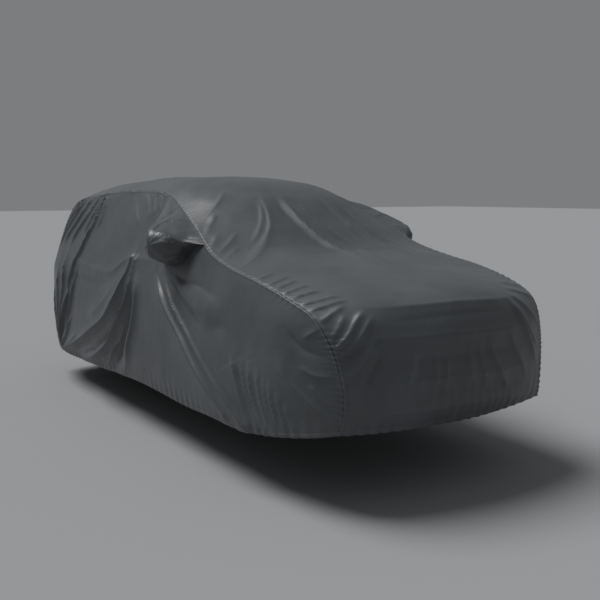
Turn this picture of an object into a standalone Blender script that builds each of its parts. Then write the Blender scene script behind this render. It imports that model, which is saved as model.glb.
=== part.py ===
"""A fitted cover for a sport utility car, hollow, cut and sewn from woven polyester.

The car's front faces -Y, its right side is -X and up is +Z. Metres. Heights in the tables are above the ground
that the car stands on; the finished pieces are moved down so that the origin is under the roof cloth, midway
between the axles.
"""

import bpy
import numpy as np

# Cloth and seams
CLOTH = 0.002
SEAM_GAP = 0.0003
# Wider gap where a pocket's edge runs out into the roof seam
CORNER_GAP = 0.002
# Height above the ground of the cloth's underside over the origin
ROOF_REST = 1.813

# Cells of the meshes: back along a side, down a side, across the centre strip
BACK_CELLS = 43
DOWN_CELLS = 12
ACROSS_CELLS = 14
# Rings of a mirror pocket, as shares of the way from the door to the tip
POCKET_RINGS = (0.0, 0.22, 0.44, 0.64, 0.84)
# How much the left pocket stands higher halfway out than the right one, which is pulled tight
LEFT_FULLNESS = 0.05

# Half width of the cover at its widest, back along the car
# name, y, half width
PLAN = [
    ("nose", -2.52, 0.36),
    ("nose_turn", -2.44, 0.58),
    ("corner_front", -2.36, 0.74),
    ("corner_back", -2.20, 0.85),
    ("wing", -1.90, 0.93),
    ("front_axle", -1.40, 0.975),
    ("middle", 0.00, 0.985),
    ("rear_axle", 1.20, 0.975),
    ("rear_wing", 1.80, 0.945),
    ("rear_corner_in", 2.02, 0.90),
    ("rear_corner", 2.16, 0.82),
    ("tail_turn", 2.27, 0.68),
    ("tail", 2.34, 0.48),
]

# Share of that half width, up from the ground
# name, z, share
SECTION = [
    ("hem", 0.24, 0.95),
    ("sill", 0.42, 0.985),
    ("door", 0.65, 1.00),
    ("belt", 1.00, 0.985),
    ("glass", 1.15, 0.94),
    ("mid_glass", 1.40, 0.84),
    ("rail", 1.60, 0.745),
    ("roof", 1.74, 0.66),
    ("crown", 1.85, 0.56),
]

# The centre strip from the front hem over the roof to the rear hem
# name, centre y, centre z, seam y, seam z, and how late y and z leave the centre's value on the way to the seam
STRIP = [
    ("front_hem", -2.39, 0.425, -2.315, 0.45, 2.4, 2.0),
    ("curl", -2.44, 0.51, -2.34, 0.52, 2.4, 2.0),
    ("low", -2.465, 0.62, -2.35, 0.63, 2.4, 2.0),
    ("bumper", -2.47, 0.76, -2.34, 0.74, 2.4, 2.0),
    ("nose", -2.46, 0.90, -2.32, 0.84, 2.4, 2.2),
    ("lip", -2.42, 1.04, -2.28, 0.95, 2.4, 2.4),
    ("edge", -2.34, 1.12, -2.19, 1.06, 2.4, 2.6),
    ("bonnet_1", -2.16, 1.18, -2.02, 1.13, 2.4, 2.6),
    ("bonnet_2", -1.80, 1.24, -1.70, 1.21, 2.4, 2.6),
    ("bonnet_3", -1.52, 1.29, -1.40, 1.26, 2.4, 2.6),
    ("cowl", -1.28, 1.34, -1.14, 1.32, 2.2, 2.6),
    ("screen_1", -1.02, 1.48, -0.85, 1.44, 2.0, 3.6),
    ("screen_2", -0.67, 1.68, -0.50, 1.57, 2.0, 4.6),
    ("header", -0.32, 1.785, -0.20, 1.665, 2.0, 4.0),
    ("roof_1", 0.12, 1.82, 0.04, 1.705, 2.0, 3.0),
    ("roof_2", 0.75, 1.825, 0.60, 1.71, 2.0, 2.6),
    ("roof_3", 1.35, 1.81, 1.20, 1.68, 2.0, 2.6),
    ("roof_end", 1.95, 1.745, 1.80, 1.62, 2.0, 2.6),
    ("spoiler", 2.16, 1.62, 2.00, 1.48, 2.0, 2.4),
    ("gate", 2.27, 1.25, 2.10, 1.20, 2.2, 2.2),
    ("gate_low", 2.33, 0.90, 2.15, 0.90, 2.2, 2.0),
    ("rear_bumper", 2.35, 0.60, 2.16, 0.60, 2.2, 2.0),
    ("rear_hem", 2.28, 0.32, 2.10, 0.30, 2.2, 2.0),
]

# Lower edge of a side
# name, share of the way back, y, z
HEM = [
    ("front", 0.00, -2.315, 0.45),
    ("bend", 0.03, -2.19, 0.42),
    ("corner", 0.07, -2.03, 0.39),
    ("arch_a", 0.12, -1.80, 0.352),
    ("arch_b", 0.16, -1.58, 0.335),
    ("arch_c", 0.22, -1.30, 0.335),
    ("sill_a", 0.30, -0.98, 0.326),
    ("sill_b", 0.40, -0.52, 0.336),
    ("sill_c", 0.48, -0.17, 0.338),
    ("sill_d", 0.63, 0.48, 0.304),
    ("sill_e", 0.80, 1.20, 0.27),
    ("arch_d", 0.90, 1.62, 0.255),
    ("rear_a", 0.96, 1.90, 0.27),
    ("rear", 1.00, 2.10, 0.30),
]

# Main folds on a side, as ridges (+) and hollows (-) that run through points y, z
# name, height, half width, points
SIDE_FOLDS = [
    ("door_back", 0.024, 0.12, [(0.00, 1.20), (0.20, 0.92), (0.45, 0.73), (0.82, 0.57), (1.24, 0.42), (1.66, 0.29)]),
    ("door_middle", 0.026, 0.11, [(-0.08, 1.18), (-0.02, 0.88), (0.18, 0.68), (0.40, 0.52), (0.78, 0.38)]),
    ("door_front", 0.020, 0.11, [(-0.11, 1.16), (-0.20, 1.00), (-0.15, 0.78), (-0.03, 0.55), (0.04, 0.40)]),
    ("door_hollow", -0.020, 0.10, [(-0.05, 1.00), (0.10, 0.85), (0.30, 0.66), (0.60, 0.50)]),
    ("wing_upper", 0.020, 0.11, [(-0.38, 1.16), (-0.58, 1.04), (-0.90, 0.79), (-1.12, 0.62), (-1.46, 0.42)]),
    ("wing_lower", 0.020, 0.11, [(-0.54, 1.16), (-0.76, 1.01), (-1.00, 0.85), (-1.36, 0.60), (-1.65, 0.40)]),
    ("wing_hollow", -0.022, 0.16, [(-1.24, 0.86), (-1.44, 0.90), (-1.58, 0.84), (-1.68, 0.70), (-1.64, 0.56)]),
    ("wing_shoulder", 0.014, 0.12, [(-0.68, 1.16), (-0.94, 1.13), (-1.26, 1.08), (-1.50, 1.02)]),
    ("arch_fan", 0.014, 0.11, [(-1.84, 0.74), (-1.88, 0.56), (-1.94, 0.38)]),
    ("corner_long", 0.012, 0.11, [(-1.97, 0.86), (-2.10, 0.70), (-2.20, 0.60)]),
    ("quarter_long", 0.018, 0.12, [(1.07, 1.58), (1.12, 1.34), (1.20, 1.14), (1.34, 0.92), (1.52, 0.66), (1.72, 0.40)]),
    ("quarter_short", 0.014, 0.11, [(1.50, 1.58), (1.62, 1.44), (1.80, 1.30)]),
    ("belt", -0.010, 0.12, [(1.24, 1.06), (0.80, 1.00), (0.30, 1.02)]),
]

# Main folds on the centre strip seen from above, through points x, y
# name, height, half width, points
TOP_FOLDS = [
    ("screen_middle", 0.016, 0.13, [(-0.07, -0.56), (-0.09, -0.86), (-0.05, -1.14), (-0.01, -1.34), (0.04, -1.80)]),
    ("screen_far", 0.016, 0.13, [(0.26, -0.60), (0.29, -0.92), (0.38, -1.18), (0.46, -1.50)]),
    ("screen_near", 0.014, 0.12, [(-0.23, -0.68), (-0.32, -0.94), (-0.44, -1.10), (-0.62, -1.26)]),
    ("screen_hollow", -0.012, 0.13, [(0.10, -0.74), (0.12, -1.00), (0.20, -1.26)]),
]

# Main folds on the front face, through points x, z
# name, height, half width, points
FRONT_FOLDS = [
    ("corner_near", 0.016, 0.12, [(-0.56, 0.96), (-0.62, 0.86), (-0.66, 0.76), (-0.70, 0.62)]),
    ("face_near", 0.010, 0.12, [(-0.35, 0.88), (-0.38, 0.78), (-0.46, 0.62)]),
    ("face_far", 0.010, 0.12, [(0.20, 0.90), (0.26, 0.72), (0.38, 0.55)]),
    ("corner_far", 0.014, 0.12, [(0.46, 1.00), (0.56, 0.88), (0.66, 0.70)]),
]

# Right mirror pocket, round its outline: where it is sewn on (y, z), halfway out (x, y, z), its tip (x, y, z)
# Its first five rows lie on the roof seam, from the windscreen pillar down to a short seam across the wing.
# name, sewn y z, middle x y z, tip x y z
POCKET = [
    ("pillar", -0.20, 1.665, -0.885, -0.445, 1.545, -1.085, -0.690, 1.445),
    ("front_1", -0.40, 1.600, -0.900, -0.560, 1.525, -1.070, -0.740, 1.442),
    ("front_2", -0.60, 1.535, -0.915, -0.700, 1.490, -1.060, -0.780, 1.430),
    ("front_3", -0.80, 1.455, -0.930, -0.810, 1.440, -1.050, -0.815, 1.410),
    ("branch", -0.98, 1.385, -0.930, -0.880, 1.385, -1.045, -0.835, 1.380),
    ("nose", -0.87, 1.340, -0.945, -0.875, 1.340, -1.040, -0.840, 1.345),
    ("low_front", -0.82, 1.265, -0.965, -0.850, 1.285, -1.045, -0.820, 1.300),
    ("low", -0.68, 1.220, -0.985, -0.760, 1.250, -1.060, -0.760, 1.275),
    ("low_back", -0.53, 1.220, -1.000, -0.660, 1.250, -1.080, -0.690, 1.275),
    ("back_1", -0.42, 1.280, -0.985, -0.585, 1.300, -1.090, -0.650, 1.305),
    ("back_2", -0.35, 1.380, -0.955, -0.540, 1.375, -1.095, -0.635, 1.355),
    ("back_3", -0.28, 1.500, -0.920, -0.490, 1.455, -1.095, -0.645, 1.405),
]
SEAM_ROWS = 5
POCKET_TIP = (-1.105, -0.735, 1.360)

# Finishes: colour, roughness, metallic
FINISHES = {
    "top_panel": ((0.115, 0.125, 0.130, 1.0), 0.62, 0.0),
    "side_panel": ((0.085, 0.093, 0.098, 1.0), 0.62, 0.0),
    "mirror_pocket": ((0.070, 0.077, 0.082, 1.0), 0.62, 0.0),
}


def column(rows, n):
    return np.array([row[n] for row in rows], float)


def smooth_curve(x, y):
    """A smooth curve through the points that never overshoots them."""
    step = np.diff(x)
    rise = np.diff(y) / step
    slope = np.zeros(len(x))
    slope[0] = rise[0]
    slope[-1] = rise[-1]
    for i in range(1, len(x) - 1):
        before = rise[i - 1]
        after = rise[i]
        if before * after > 0:
            w1 = 2 * step[i] + step[i - 1]
            w2 = step[i] + 2 * step[i - 1]
            slope[i] = (w1 + w2) / (w1 / before + w2 / after)

    def curve(at):
        at = np.clip(at, x[0], x[-1])
        i = np.clip(np.searchsorted(x, at, side="right") - 1, 0, len(step) - 1)
        t = (at - x[i]) / step[i]
        start = y[i] * (1 + 2 * t) * (1 - t) ** 2 + slope[i] * step[i] * t * (1 - t) ** 2
        end = y[i + 1] * t * t * (3 - 2 * t) + slope[i + 1] * step[i] * t * t * (t - 1)
        return start + end

    return curve


def unit(vectors):
    return vectors / np.maximum(np.linalg.norm(vectors, axis=-1, keepdims=True), 1e-12)


# ---------- the cover's outer surface ----------

plan = smooth_curve(column(PLAN, 1), column(PLAN, 2))
section = smooth_curve(column(SECTION, 1), column(SECTION, 2))


def half_width(y, z):
    return plan(y) * section(z)


def strip_stations():
    """Share of the strip's length at each row of STRIP."""
    yc, zc, ys, zs = (column(STRIP, n) for n in (1, 2, 3, 4))
    xs = half_width(ys, zs)
    seam = np.stack([xs, ys, zs], 1)
    centre = np.stack([0 * xs, yc, zc], 1)
    lengths = 0.5 * np.linalg.norm(np.diff(seam, axis=0), axis=1)
    lengths = lengths + 0.5 * np.linalg.norm(np.diff(centre, axis=0), axis=1)
    s = np.concatenate([[0], np.cumsum(lengths)])
    return s / s[-1]


STATIONS = strip_stations()
STATION_NAMES = [row[0] for row in STRIP]
# Where the strip's seam turns from a front or rear edge of the side into its top edge
S_FRONT = STATIONS[STATION_NAMES.index("lip")]
S_REAR = STATIONS[STATION_NAMES.index("roof_end")]
centre_y, centre_z, seam_y, seam_z, late_y, late_z = (smooth_curve(STATIONS, column(STRIP, n)) for n in range(1, 7))
hem_y = smooth_curve(column(HEM, 1), column(HEM, 2))
hem_z = smooth_curve(column(HEM, 1), column(HEM, 3))


def strip_point(s, t):
    """Centre strip: s runs back from the front hem over the roof, t from the right seam (-1) to the left (1)."""
    a = np.abs(t)
    ys = seam_y(s)
    zs = seam_z(s)
    x = t * half_width(ys, zs)
    y = centre_y(s) + (ys - centre_y(s)) * a ** late_y(s)
    z = centre_z(s) + (zs - centre_z(s)) * a ** late_z(s)
    return np.stack([x, y, z], -1)


def seam_yz(s):
    return np.stack([seam_y(s), seam_z(s)], -1)


def hem_yz(u):
    return np.stack([hem_y(u), hem_z(u)], -1)


def side_point(u, v, hand):
    """Side: u runs back along the car, v down from the roof seam. hand is -1 on the car's right, 1 on its left."""
    back = u[..., None]
    down = v[..., None]
    top = seam_yz(S_FRONT + (S_REAR - S_FRONT) * u)
    front = seam_yz(S_FRONT * (1 - v))
    rear = seam_yz(S_REAR + (1 - S_REAR) * v)
    yz = (1 - down) * top + down * hem_yz(u) + (1 - back) * front + back * rear
    yz = yz - (1 - back) * (1 - down) * seam_yz(S_FRONT) - back * (1 - down) * seam_yz(S_REAR)
    yz = yz - (1 - back) * down * hem_yz(0.0) - back * down * hem_yz(1.0)
    x = hand * half_width(yz[..., 0], yz[..., 1])
    return np.concatenate([x[..., None], yz], -1)


def ridge(at, points, width):
    """1 on the line through the points, falling to 0 at width from it and at its two ends."""
    points = np.array(points, float)
    lengths = np.linalg.norm(np.diff(points, axis=0), axis=1)
    starts = np.concatenate([[0], np.cumsum(lengths)])
    nearest = np.full(at.shape[:-1], 1e9)
    along = np.zeros(at.shape[:-1])
    for i, length in enumerate(lengths):
        way = (points[i + 1] - points[i]) / length
        done = np.clip((at - points[i]) @ way, 0, length)
        gap = np.linalg.norm(at - points[i] - done[..., None] * way, axis=-1)
        closer = gap < nearest
        nearest = np.where(closer, gap, nearest)
        along = np.where(closer, starts[i] + done, along)
    profile = (1 - np.clip(nearest / width, 0, 1) ** 2) ** 2
    ends = np.clip(np.minimum(along, starts[-1] - along) / (0.25 * starts[-1]), 0, 1)
    return profile * (0.25 + 0.75 * ends * ends * (3 - 2 * ends))


def side_rise(points, u, v):
    at = points[..., 1:]
    rise = sum(height * ridge(at, line, width) for _, height, width, line in SIDE_FOLDS)
    away = np.minimum(np.minimum(v / 0.15, u / 0.06), (1 - u) / 0.06)
    return rise * np.clip(away, 0, 1)


def strip_rise(points, t):
    upper = points[..., 2] > 1.05
    top = sum(height * ridge(points[..., :2], line, width) for _, height, width, line in TOP_FOLDS)
    front = sum(height * ridge(points[..., [0, 2]], line, width) for _, height, width, line in FRONT_FOLDS)
    front = front * (points[..., 1] < 0)
    return np.where(upper, top, front) * np.clip((1 - np.abs(t)) / 0.12, 0, 1)


# ---------- meshes ----------


def grid_normals(grid, flip):
    """Outward unit normal at each point of a grid."""
    normal = np.cross(np.gradient(grid, axis=0), np.gradient(grid, axis=1))
    return unit(-normal if flip else normal)


def cell_faces(a, b, c, d, flip):
    """Two triangles on the diagonal a to c, so that both faces of the cloth bend alike."""
    if flip:
        return [(c, b, a), (d, c, a)]
    return [(a, b, c), (a, c, d)]


def grid_faces(rows, columns, start, flip):
    faces = []
    for i in range(rows - 1):
        for j in range(columns - 1):
            a = start + i * columns + j
            faces += cell_faces(a, a + columns, a + columns + 1, a + 1, flip)
    return faces


def rim_faces(loop, shift, flip):
    faces = []
    for a, b in zip(loop, loop[1:] + loop[:1]):
        faces += cell_faces(b, a, a + shift, b + shift, flip)
    return faces


def grid_loop(rows, columns):
    """The grid's edge points, once round."""
    near = [i * columns for i in range(rows)]
    last = [(rows - 1) * columns + j for j in range(1, columns)]
    far = [i * columns + columns - 1 for i in range(rows - 2, -1, -1)]
    first = [j for j in range(columns - 2, 0, -1)]
    return near + last + far + first


def finish_of(name):
    kind = next(kind for kind in FINISHES if name.startswith(kind))
    colour, roughness, metallic = FINISHES[kind]
    material = bpy.data.materials.new(name)
    material.use_nodes = True
    shader = material.node_tree.nodes["Principled BSDF"]
    shader.inputs["Base Color"].default_value = colour
    shader.inputs["Roughness"].default_value = roughness
    shader.inputs["Metallic"].default_value = metallic
    return material


def add_object(name, points, faces, collection):
    mesh = bpy.data.meshes.new(name)
    points = np.asarray(points, float) - np.array([0.0, 0.0, ROOF_REST])
    mesh.from_pydata([tuple(p) for p in points], [], faces)
    mesh.validate()
    mesh.update()
    obj = bpy.data.objects.new(name, mesh)
    collection.objects.link(obj)
    return obj


def add_sheet(name, outer, normals, flip, collection):
    """A closed solid of cloth between the outer grid and the same grid one cloth thickness inside."""
    rows, columns = outer.shape[:2]
    count = rows * columns
    inner = outer - CLOTH * normals
    points = np.concatenate([outer.reshape(-1, 3), inner.reshape(-1, 3)])
    faces = grid_faces(rows, columns, 0, flip)
    faces += grid_faces(rows, columns, count, not flip)
    faces += rim_faces(grid_loop(rows, columns), count, flip)
    obj = add_object(name, points, faces, collection)
    obj.data.materials.append(finish_of(name))
    return obj


def drawn_in(grid, normals, path, beside):
    """Moves the edge points on path half a seam gap into their own panel, along the cloth and across the seam."""
    edge = grid[path]
    along = unit(np.gradient(edge, axis=0))
    way = grid[beside] - edge
    for across in (along, normals[path]):
        way = way - np.sum(way * across, -1, keepdims=True) * across
    grid = grid.copy()
    grid[path] = edge + 0.5 * SEAM_GAP * unit(way)
    return grid


def round_curve(values, at):
    """A closed smooth curve through the rows of values, read at row numbers at."""
    rows = len(values)
    i = np.floor(at).astype(int)
    t = (at - i)[:, None]
    before, start, end, after = (values[(i + k) % rows] for k in (-1, 0, 1, 2))
    bend = 2 * before - 5 * start + 4 * end - after
    twist = 3 * start - before - 3 * end + after
    return 0.5 * (2 * start + (end - before) * t + bend * t * t + twist * t ** 3)


def pocket_rings(hand, seam):
    """The pocket's rings from the door outwards, and its tip. seam holds the roof seam's points that it shares."""
    table = np.array([row[1:] for row in POCKET], float)
    on_seam = np.interp(-seam[:, 1], -table[:SEAM_ROWS, 0], np.arange(SEAM_ROWS))
    on_seam[0] = 0
    on_seam[-1] = SEAM_ROWS - 1
    on_door = np.arange(SEAM_ROWS - 0.5, len(table), 0.5)
    at = np.concatenate([on_seam, on_door])
    door_yz = np.stack([np.interp(on_door, np.arange(len(table) + 1), np.append(table[:, n], table[0, n])) for n in (0, 1)], 1)
    door_x = hand * half_width(door_yz[:, 0], door_yz[:, 1])
    door = np.concatenate([seam, np.concatenate([door_x[:, None], door_yz], 1)])
    turn = np.array([-hand, 1.0, 1.0])
    middle = round_curve(table[:, 2:5], at) * turn
    end = round_curve(table[:, 5:8], at) * turn
    full = LEFT_FULLNESS if hand > 0 else 0.0
    middle[:, 2] += full * np.clip(1 - np.minimum(at, len(table) - at) / 2.5, 0, 1)
    rings = []
    for share in POCKET_RINGS:
        if share <= 0.5:
            rings.append(door + (middle - door) * (share / 0.5))
        else:
            rings.append(middle + (end - middle) * ((share - 0.5) / 0.34))
    return np.array(rings), np.array(POCKET_TIP) * turn


def add_pocket(name, hand, seam, seam_normals, collection):
    rings, tip = pocket_rings(hand, seam)
    wrapped = np.concatenate([rings[:, -1:], rings, rings[:, :1]], 1)
    normals = unit(np.cross(np.gradient(wrapped, axis=0), np.gradient(wrapped, axis=1))[:, 1:-1])
    if np.sum(normals * (rings - rings.mean(axis=(0, 1)))) < 0:
        normals = -normals
    normals[0] = [hand, 0.0, 0.0]
    normals[0, : len(seam)] = seam_normals
    inner = rings - CLOTH * normals
    inner_tip = tip - CLOTH * np.array([hand, 0.0, 0.0])
    ring_count, around = rings.shape[:2]
    count = ring_count * around + 1
    points = np.concatenate([rings.reshape(-1, 3), tip[None], inner.reshape(-1, 3), inner_tip[None]])
    faces = []
    for shift, flip in ((0, hand > 0), (count, hand < 0)):
        for i in range(ring_count - 1):
            for j in range(around):
                k = (j + 1) % around
                a = shift + i * around
                faces += cell_faces(a + j, a + around + j, a + around + k, a + k, flip)
        last = shift + (ring_count - 1) * around
        for j in range(around):
            face = (last + j, shift + count - 1, last + (j + 1) % around)
            faces.append(face[::-1] if flip else face)
    faces += rim_faces(list(range(around)), count, hand < 0)
    obj = add_object(name, points, faces, collection)
    obj.data.materials.append(finish_of(name))
    return rings[0]


def past(inside, end, further, aside, centre):
    """A point further along from inside through end, moved aside away from centre."""
    way = unit(end - inside)
    across = np.array([-way[1], way[0]])
    if across @ (end - centre) < 0:
        across = -across
    return end + further * way + aside * across


def add_mirror_cutter(name, ring, seam_count, hand, collection):
    """A prism through the side round the pocket's outline. It reaches past the roof seam and clears the rest."""
    outline = ring[:, 1:].copy()
    centre = outline.mean(axis=0)
    out = unit(outline - centre)
    cut = outline + 1.3 * SEAM_GAP * out
    cut[:seam_count] = outline[:seam_count] + 0.03 * unit(np.array([[-0.3, 1.0]]))
    cut[0] = past(outline[-1], outline[0], 0.03, CORNER_GAP, centre)
    cut[seam_count - 1] = past(outline[seam_count], outline[seam_count - 1], 0.03, CORNER_GAP, centre)
    around = len(ring)
    inside = np.concatenate([np.full((around, 1), hand * 0.45), cut], 1)
    outside = np.concatenate([np.full((around, 1), hand * 1.30), cut], 1)
    faces = [tuple(range(around)), tuple(range(around, 2 * around))[::-1]]
    for j in range(around):
        k = (j + 1) % around
        faces.append((k, j, j + around, k + around))
    if hand > 0:
        faces = [face[::-1] for face in faces]
    obj = add_object(name, np.concatenate([inside, outside]), faces, collection)
    obj.hide_render = True
    obj.display_type = "WIRE"
    return obj


# ---------- build ----------

for old in list(bpy.data.objects):
    bpy.data.objects.remove(old)
cover = bpy.data.collections.new("car_cover")
helpers = bpy.data.collections.new("car_cover_cutters")
helpers.hide_render = True
bpy.context.scene.collection.children.link(cover)
bpy.context.scene.collection.children.link(helpers)

front_rows = np.linspace(0, S_FRONT, DOWN_CELLS + 1)
roof_rows = np.linspace(S_FRONT, S_REAR, BACK_CELLS + 1)
rear_rows = np.linspace(S_REAR, 1, DOWN_CELLS + 1)
strip_s, strip_t = np.meshgrid(
    np.concatenate([front_rows, roof_rows[1:], rear_rows[1:]]),
    np.linspace(-1, 1, ACROSS_CELLS + 1),
    indexing="ij",
)
side_u, side_v = np.meshgrid(np.linspace(0, 1, BACK_CELLS + 1), np.linspace(0, 1, DOWN_CELLS + 1), indexing="ij")
FRONT_EDGE = (0, slice(None))
REAR_EDGE = (-1, slice(None))
TOP_EDGE = (slice(None), 0)

strip = strip_point(strip_s, strip_t)
strip_normals = grid_normals(strip, True)
strip = strip + strip_rise(strip, strip_t)[..., None] * strip_normals
sides = {}
for hand, column_at in ((-1, 0), (1, -1)):
    side = side_point(side_u, side_v, hand)
    normals = grid_normals(side, hand > 0)
    side = side + side_rise(side, side_u, side_v)[..., None] * normals
    # The strip and the side share one direction through the cloth along their seam.
    edge = strip_normals[:, column_at]
    front = unit(edge[: DOWN_CELLS + 1][::-1] + normals[FRONT_EDGE])
    top = unit(edge[DOWN_CELLS : DOWN_CELLS + BACK_CELLS + 1] + normals[TOP_EDGE])
    rear = unit(edge[DOWN_CELLS + BACK_CELLS :] + normals[REAR_EDGE])
    normals[FRONT_EDGE] = front
    normals[REAR_EDGE] = rear
    normals[TOP_EDGE] = top
    normals[0, 0] = front[0]
    normals[-1, 0] = rear[0]
    strip_normals[:, column_at] = np.concatenate([front[::-1], top[1:-1], rear])
    sides[hand] = (side, normals)

rows = np.arange(len(strip))
for edge, beside in ((0, 1), (ACROSS_CELLS, ACROSS_CELLS - 1)):
    strip = drawn_in(strip, strip_normals, (rows, np.full_like(rows, edge)), (rows, np.full_like(rows, beside)))
add_sheet("top_panel", strip, strip_normals, True, cover)

# A side's seam: up its front edge, back along its top edge and down its rear edge
up = np.arange(DOWN_CELLS, 0, -1)
back = np.arange(BACK_CELLS + 1)
seam_path = (
    np.concatenate([0 * up, back, 0 * up + BACK_CELLS]),
    np.concatenate([up, 0 * back, up[::-1]]),
)
seam_beside = (np.clip(seam_path[0], 1, BACK_CELLS - 1), np.maximum(seam_path[1], 1))

for hand, word in ((-1, "right"), (1, "left")):
    side, normals = sides[hand]
    side = drawn_in(side, normals, seam_path, seam_beside)
    panel = add_sheet("side_panel_" + word, side, normals, hand > 0, cover)
    top_edge = side[:, 0]
    shared = np.flatnonzero((top_edge[:, 1] > POCKET[SEAM_ROWS - 1][1] - 0.04) & (top_edge[:, 1] < POCKET[0][1] + 0.04))[::-1]
    outline = add_pocket("mirror_pocket_" + word, hand, top_edge[shared], normals[shared, 0], cover)
    cutter = add_mirror_cutter("mirror_cutter_" + word, outline, len(shared), hand, helpers)
    cut = panel.modifiers.new("mirror_opening", "BOOLEAN")
    cut.operation = "DIFFERENCE"
    cut.solver = "EXACT"
    cut.object = cutter
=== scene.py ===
"""A fitted cover on a sport utility car, of soft charcoal woven polyester with gathered hem and sewn seams.

The car's front faces -Y, its right side is -X and up is +Z. Metres. Heights in the tables are above the ground
that the car stands on; the finished pieces are moved down by ROOF_REST, so that the origin is under the roof cloth.
"""

import math

import bpy
import numpy as np
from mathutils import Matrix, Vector


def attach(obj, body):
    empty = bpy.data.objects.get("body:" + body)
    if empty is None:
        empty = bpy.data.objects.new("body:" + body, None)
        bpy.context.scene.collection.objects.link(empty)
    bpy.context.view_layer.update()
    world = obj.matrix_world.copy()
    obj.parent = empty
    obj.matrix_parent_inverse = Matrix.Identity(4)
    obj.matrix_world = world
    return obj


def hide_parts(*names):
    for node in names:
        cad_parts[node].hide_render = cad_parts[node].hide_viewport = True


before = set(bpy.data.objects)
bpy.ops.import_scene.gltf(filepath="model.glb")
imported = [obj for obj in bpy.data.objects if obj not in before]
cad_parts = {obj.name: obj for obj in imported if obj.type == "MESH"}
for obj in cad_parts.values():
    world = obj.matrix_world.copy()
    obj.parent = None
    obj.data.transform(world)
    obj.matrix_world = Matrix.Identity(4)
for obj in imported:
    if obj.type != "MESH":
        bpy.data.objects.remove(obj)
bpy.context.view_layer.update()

# Cloth and seams
CLOTH = 0.002
SEAM_GAP = 0.0003
# Wider gap where a pocket's edge runs out into the roof seam
CORNER_GAP = 0.002
# Height above the ground of the cloth's underside over the origin
ROOF_REST = 1.813
# Length of the centre strip along the cloth, from hem to hem
LENGTH = 6.494
# How much the left pocket stands higher halfway out than the right one, which is pulled tight
LEFT_FULLNESS = 0.05

# Half width of the cover at its widest, back along the car
# name, y, half width
PLAN = [
    ("nose", -2.52, 0.36),
    ("nose_turn", -2.44, 0.58),
    ("corner_front", -2.36, 0.74),
    ("corner_back", -2.20, 0.85),
    ("wing", -1.90, 0.93),
    ("front_axle", -1.40, 0.975),
    ("middle", 0.00, 0.985),
    ("rear_axle", 1.20, 0.975),
    ("rear_wing", 1.80, 0.945),
    ("rear_corner_in", 2.02, 0.90),
    ("rear_corner", 2.16, 0.82),
    ("tail_turn", 2.27, 0.68),
    ("tail", 2.34, 0.48),
]

# Share of that half width, up from the ground
# name, z, share
SECTION = [
    ("hem", 0.24, 0.95),
    ("sill", 0.42, 0.985),
    ("door", 0.65, 1.00),
    ("belt", 1.00, 0.985),
    ("glass", 1.15, 0.94),
    ("mid_glass", 1.40, 0.84),
    ("rail", 1.60, 0.745),
    ("roof", 1.74, 0.66),
    ("crown", 1.85, 0.56),
]

# The centre strip from the front hem over the roof to the rear hem
# name, centre y, centre z, seam y, seam z, and how late y and z leave the centre's value on the way to the seam
STRIP = [
    ("front_hem", -2.39, 0.425, -2.315, 0.45, 2.4, 2.0),
    ("curl", -2.44, 0.51, -2.34, 0.52, 2.4, 2.0),
    ("low", -2.465, 0.62, -2.35, 0.63, 2.4, 2.0),
    ("bumper", -2.47, 0.76, -2.34, 0.74, 2.4, 2.0),
    ("nose", -2.46, 0.90, -2.32, 0.84, 2.4, 2.2),
    ("lip", -2.42, 1.04, -2.28, 0.95, 2.4, 2.4),
    ("edge", -2.34, 1.12, -2.19, 1.06, 2.4, 2.6),
    ("bonnet_1", -2.16, 1.18, -2.02, 1.13, 2.4, 2.6),
    ("bonnet_2", -1.80, 1.24, -1.70, 1.21, 2.4, 2.6),
    ("bonnet_3", -1.52, 1.29, -1.40, 1.26, 2.4, 2.6),
    ("cowl", -1.28, 1.34, -1.14, 1.32, 2.2, 2.6),
    ("screen_1", -1.02, 1.48, -0.85, 1.44, 2.0, 3.6),
    ("screen_2", -0.67, 1.68, -0.50, 1.57, 2.0, 4.6),
    ("header", -0.32, 1.785, -0.20, 1.665, 2.0, 4.0),
    ("roof_1", 0.12, 1.82, 0.04, 1.705, 2.0, 3.0),
    ("roof_2", 0.75, 1.825, 0.60, 1.71, 2.0, 2.6),
    ("roof_3", 1.35, 1.81, 1.20, 1.68, 2.0, 2.6),
    ("roof_end", 1.95, 1.745, 1.80, 1.62, 2.0, 2.6),
    ("spoiler", 2.16, 1.62, 2.00, 1.48, 2.0, 2.4),
    ("gate", 2.27, 1.25, 2.10, 1.20, 2.2, 2.2),
    ("gate_low", 2.33, 0.90, 2.15, 0.90, 2.2, 2.0),
    ("rear_bumper", 2.35, 0.60, 2.16, 0.60, 2.2, 2.0),
    ("rear_hem", 2.28, 0.32, 2.10, 0.30, 2.2, 2.0),
]

# Lower edge of a side
# name, share of the way back, y, z
HEM = [
    ("front", 0.00, -2.315, 0.45),
    ("bend", 0.03, -2.19, 0.42),
    ("corner", 0.07, -2.03, 0.39),
    ("arch_a", 0.12, -1.80, 0.352),
    ("arch_b", 0.16, -1.58, 0.335),
    ("arch_c", 0.22, -1.30, 0.335),
    ("sill_a", 0.30, -0.98, 0.326),
    ("sill_b", 0.40, -0.52, 0.336),
    ("sill_c", 0.48, -0.17, 0.338),
    ("sill_d", 0.63, 0.48, 0.304),
    ("sill_e", 0.80, 1.20, 0.27),
    ("arch_d", 0.90, 1.62, 0.255),
    ("rear_a", 0.96, 1.90, 0.27),
    ("rear", 1.00, 2.10, 0.30),
]


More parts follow.
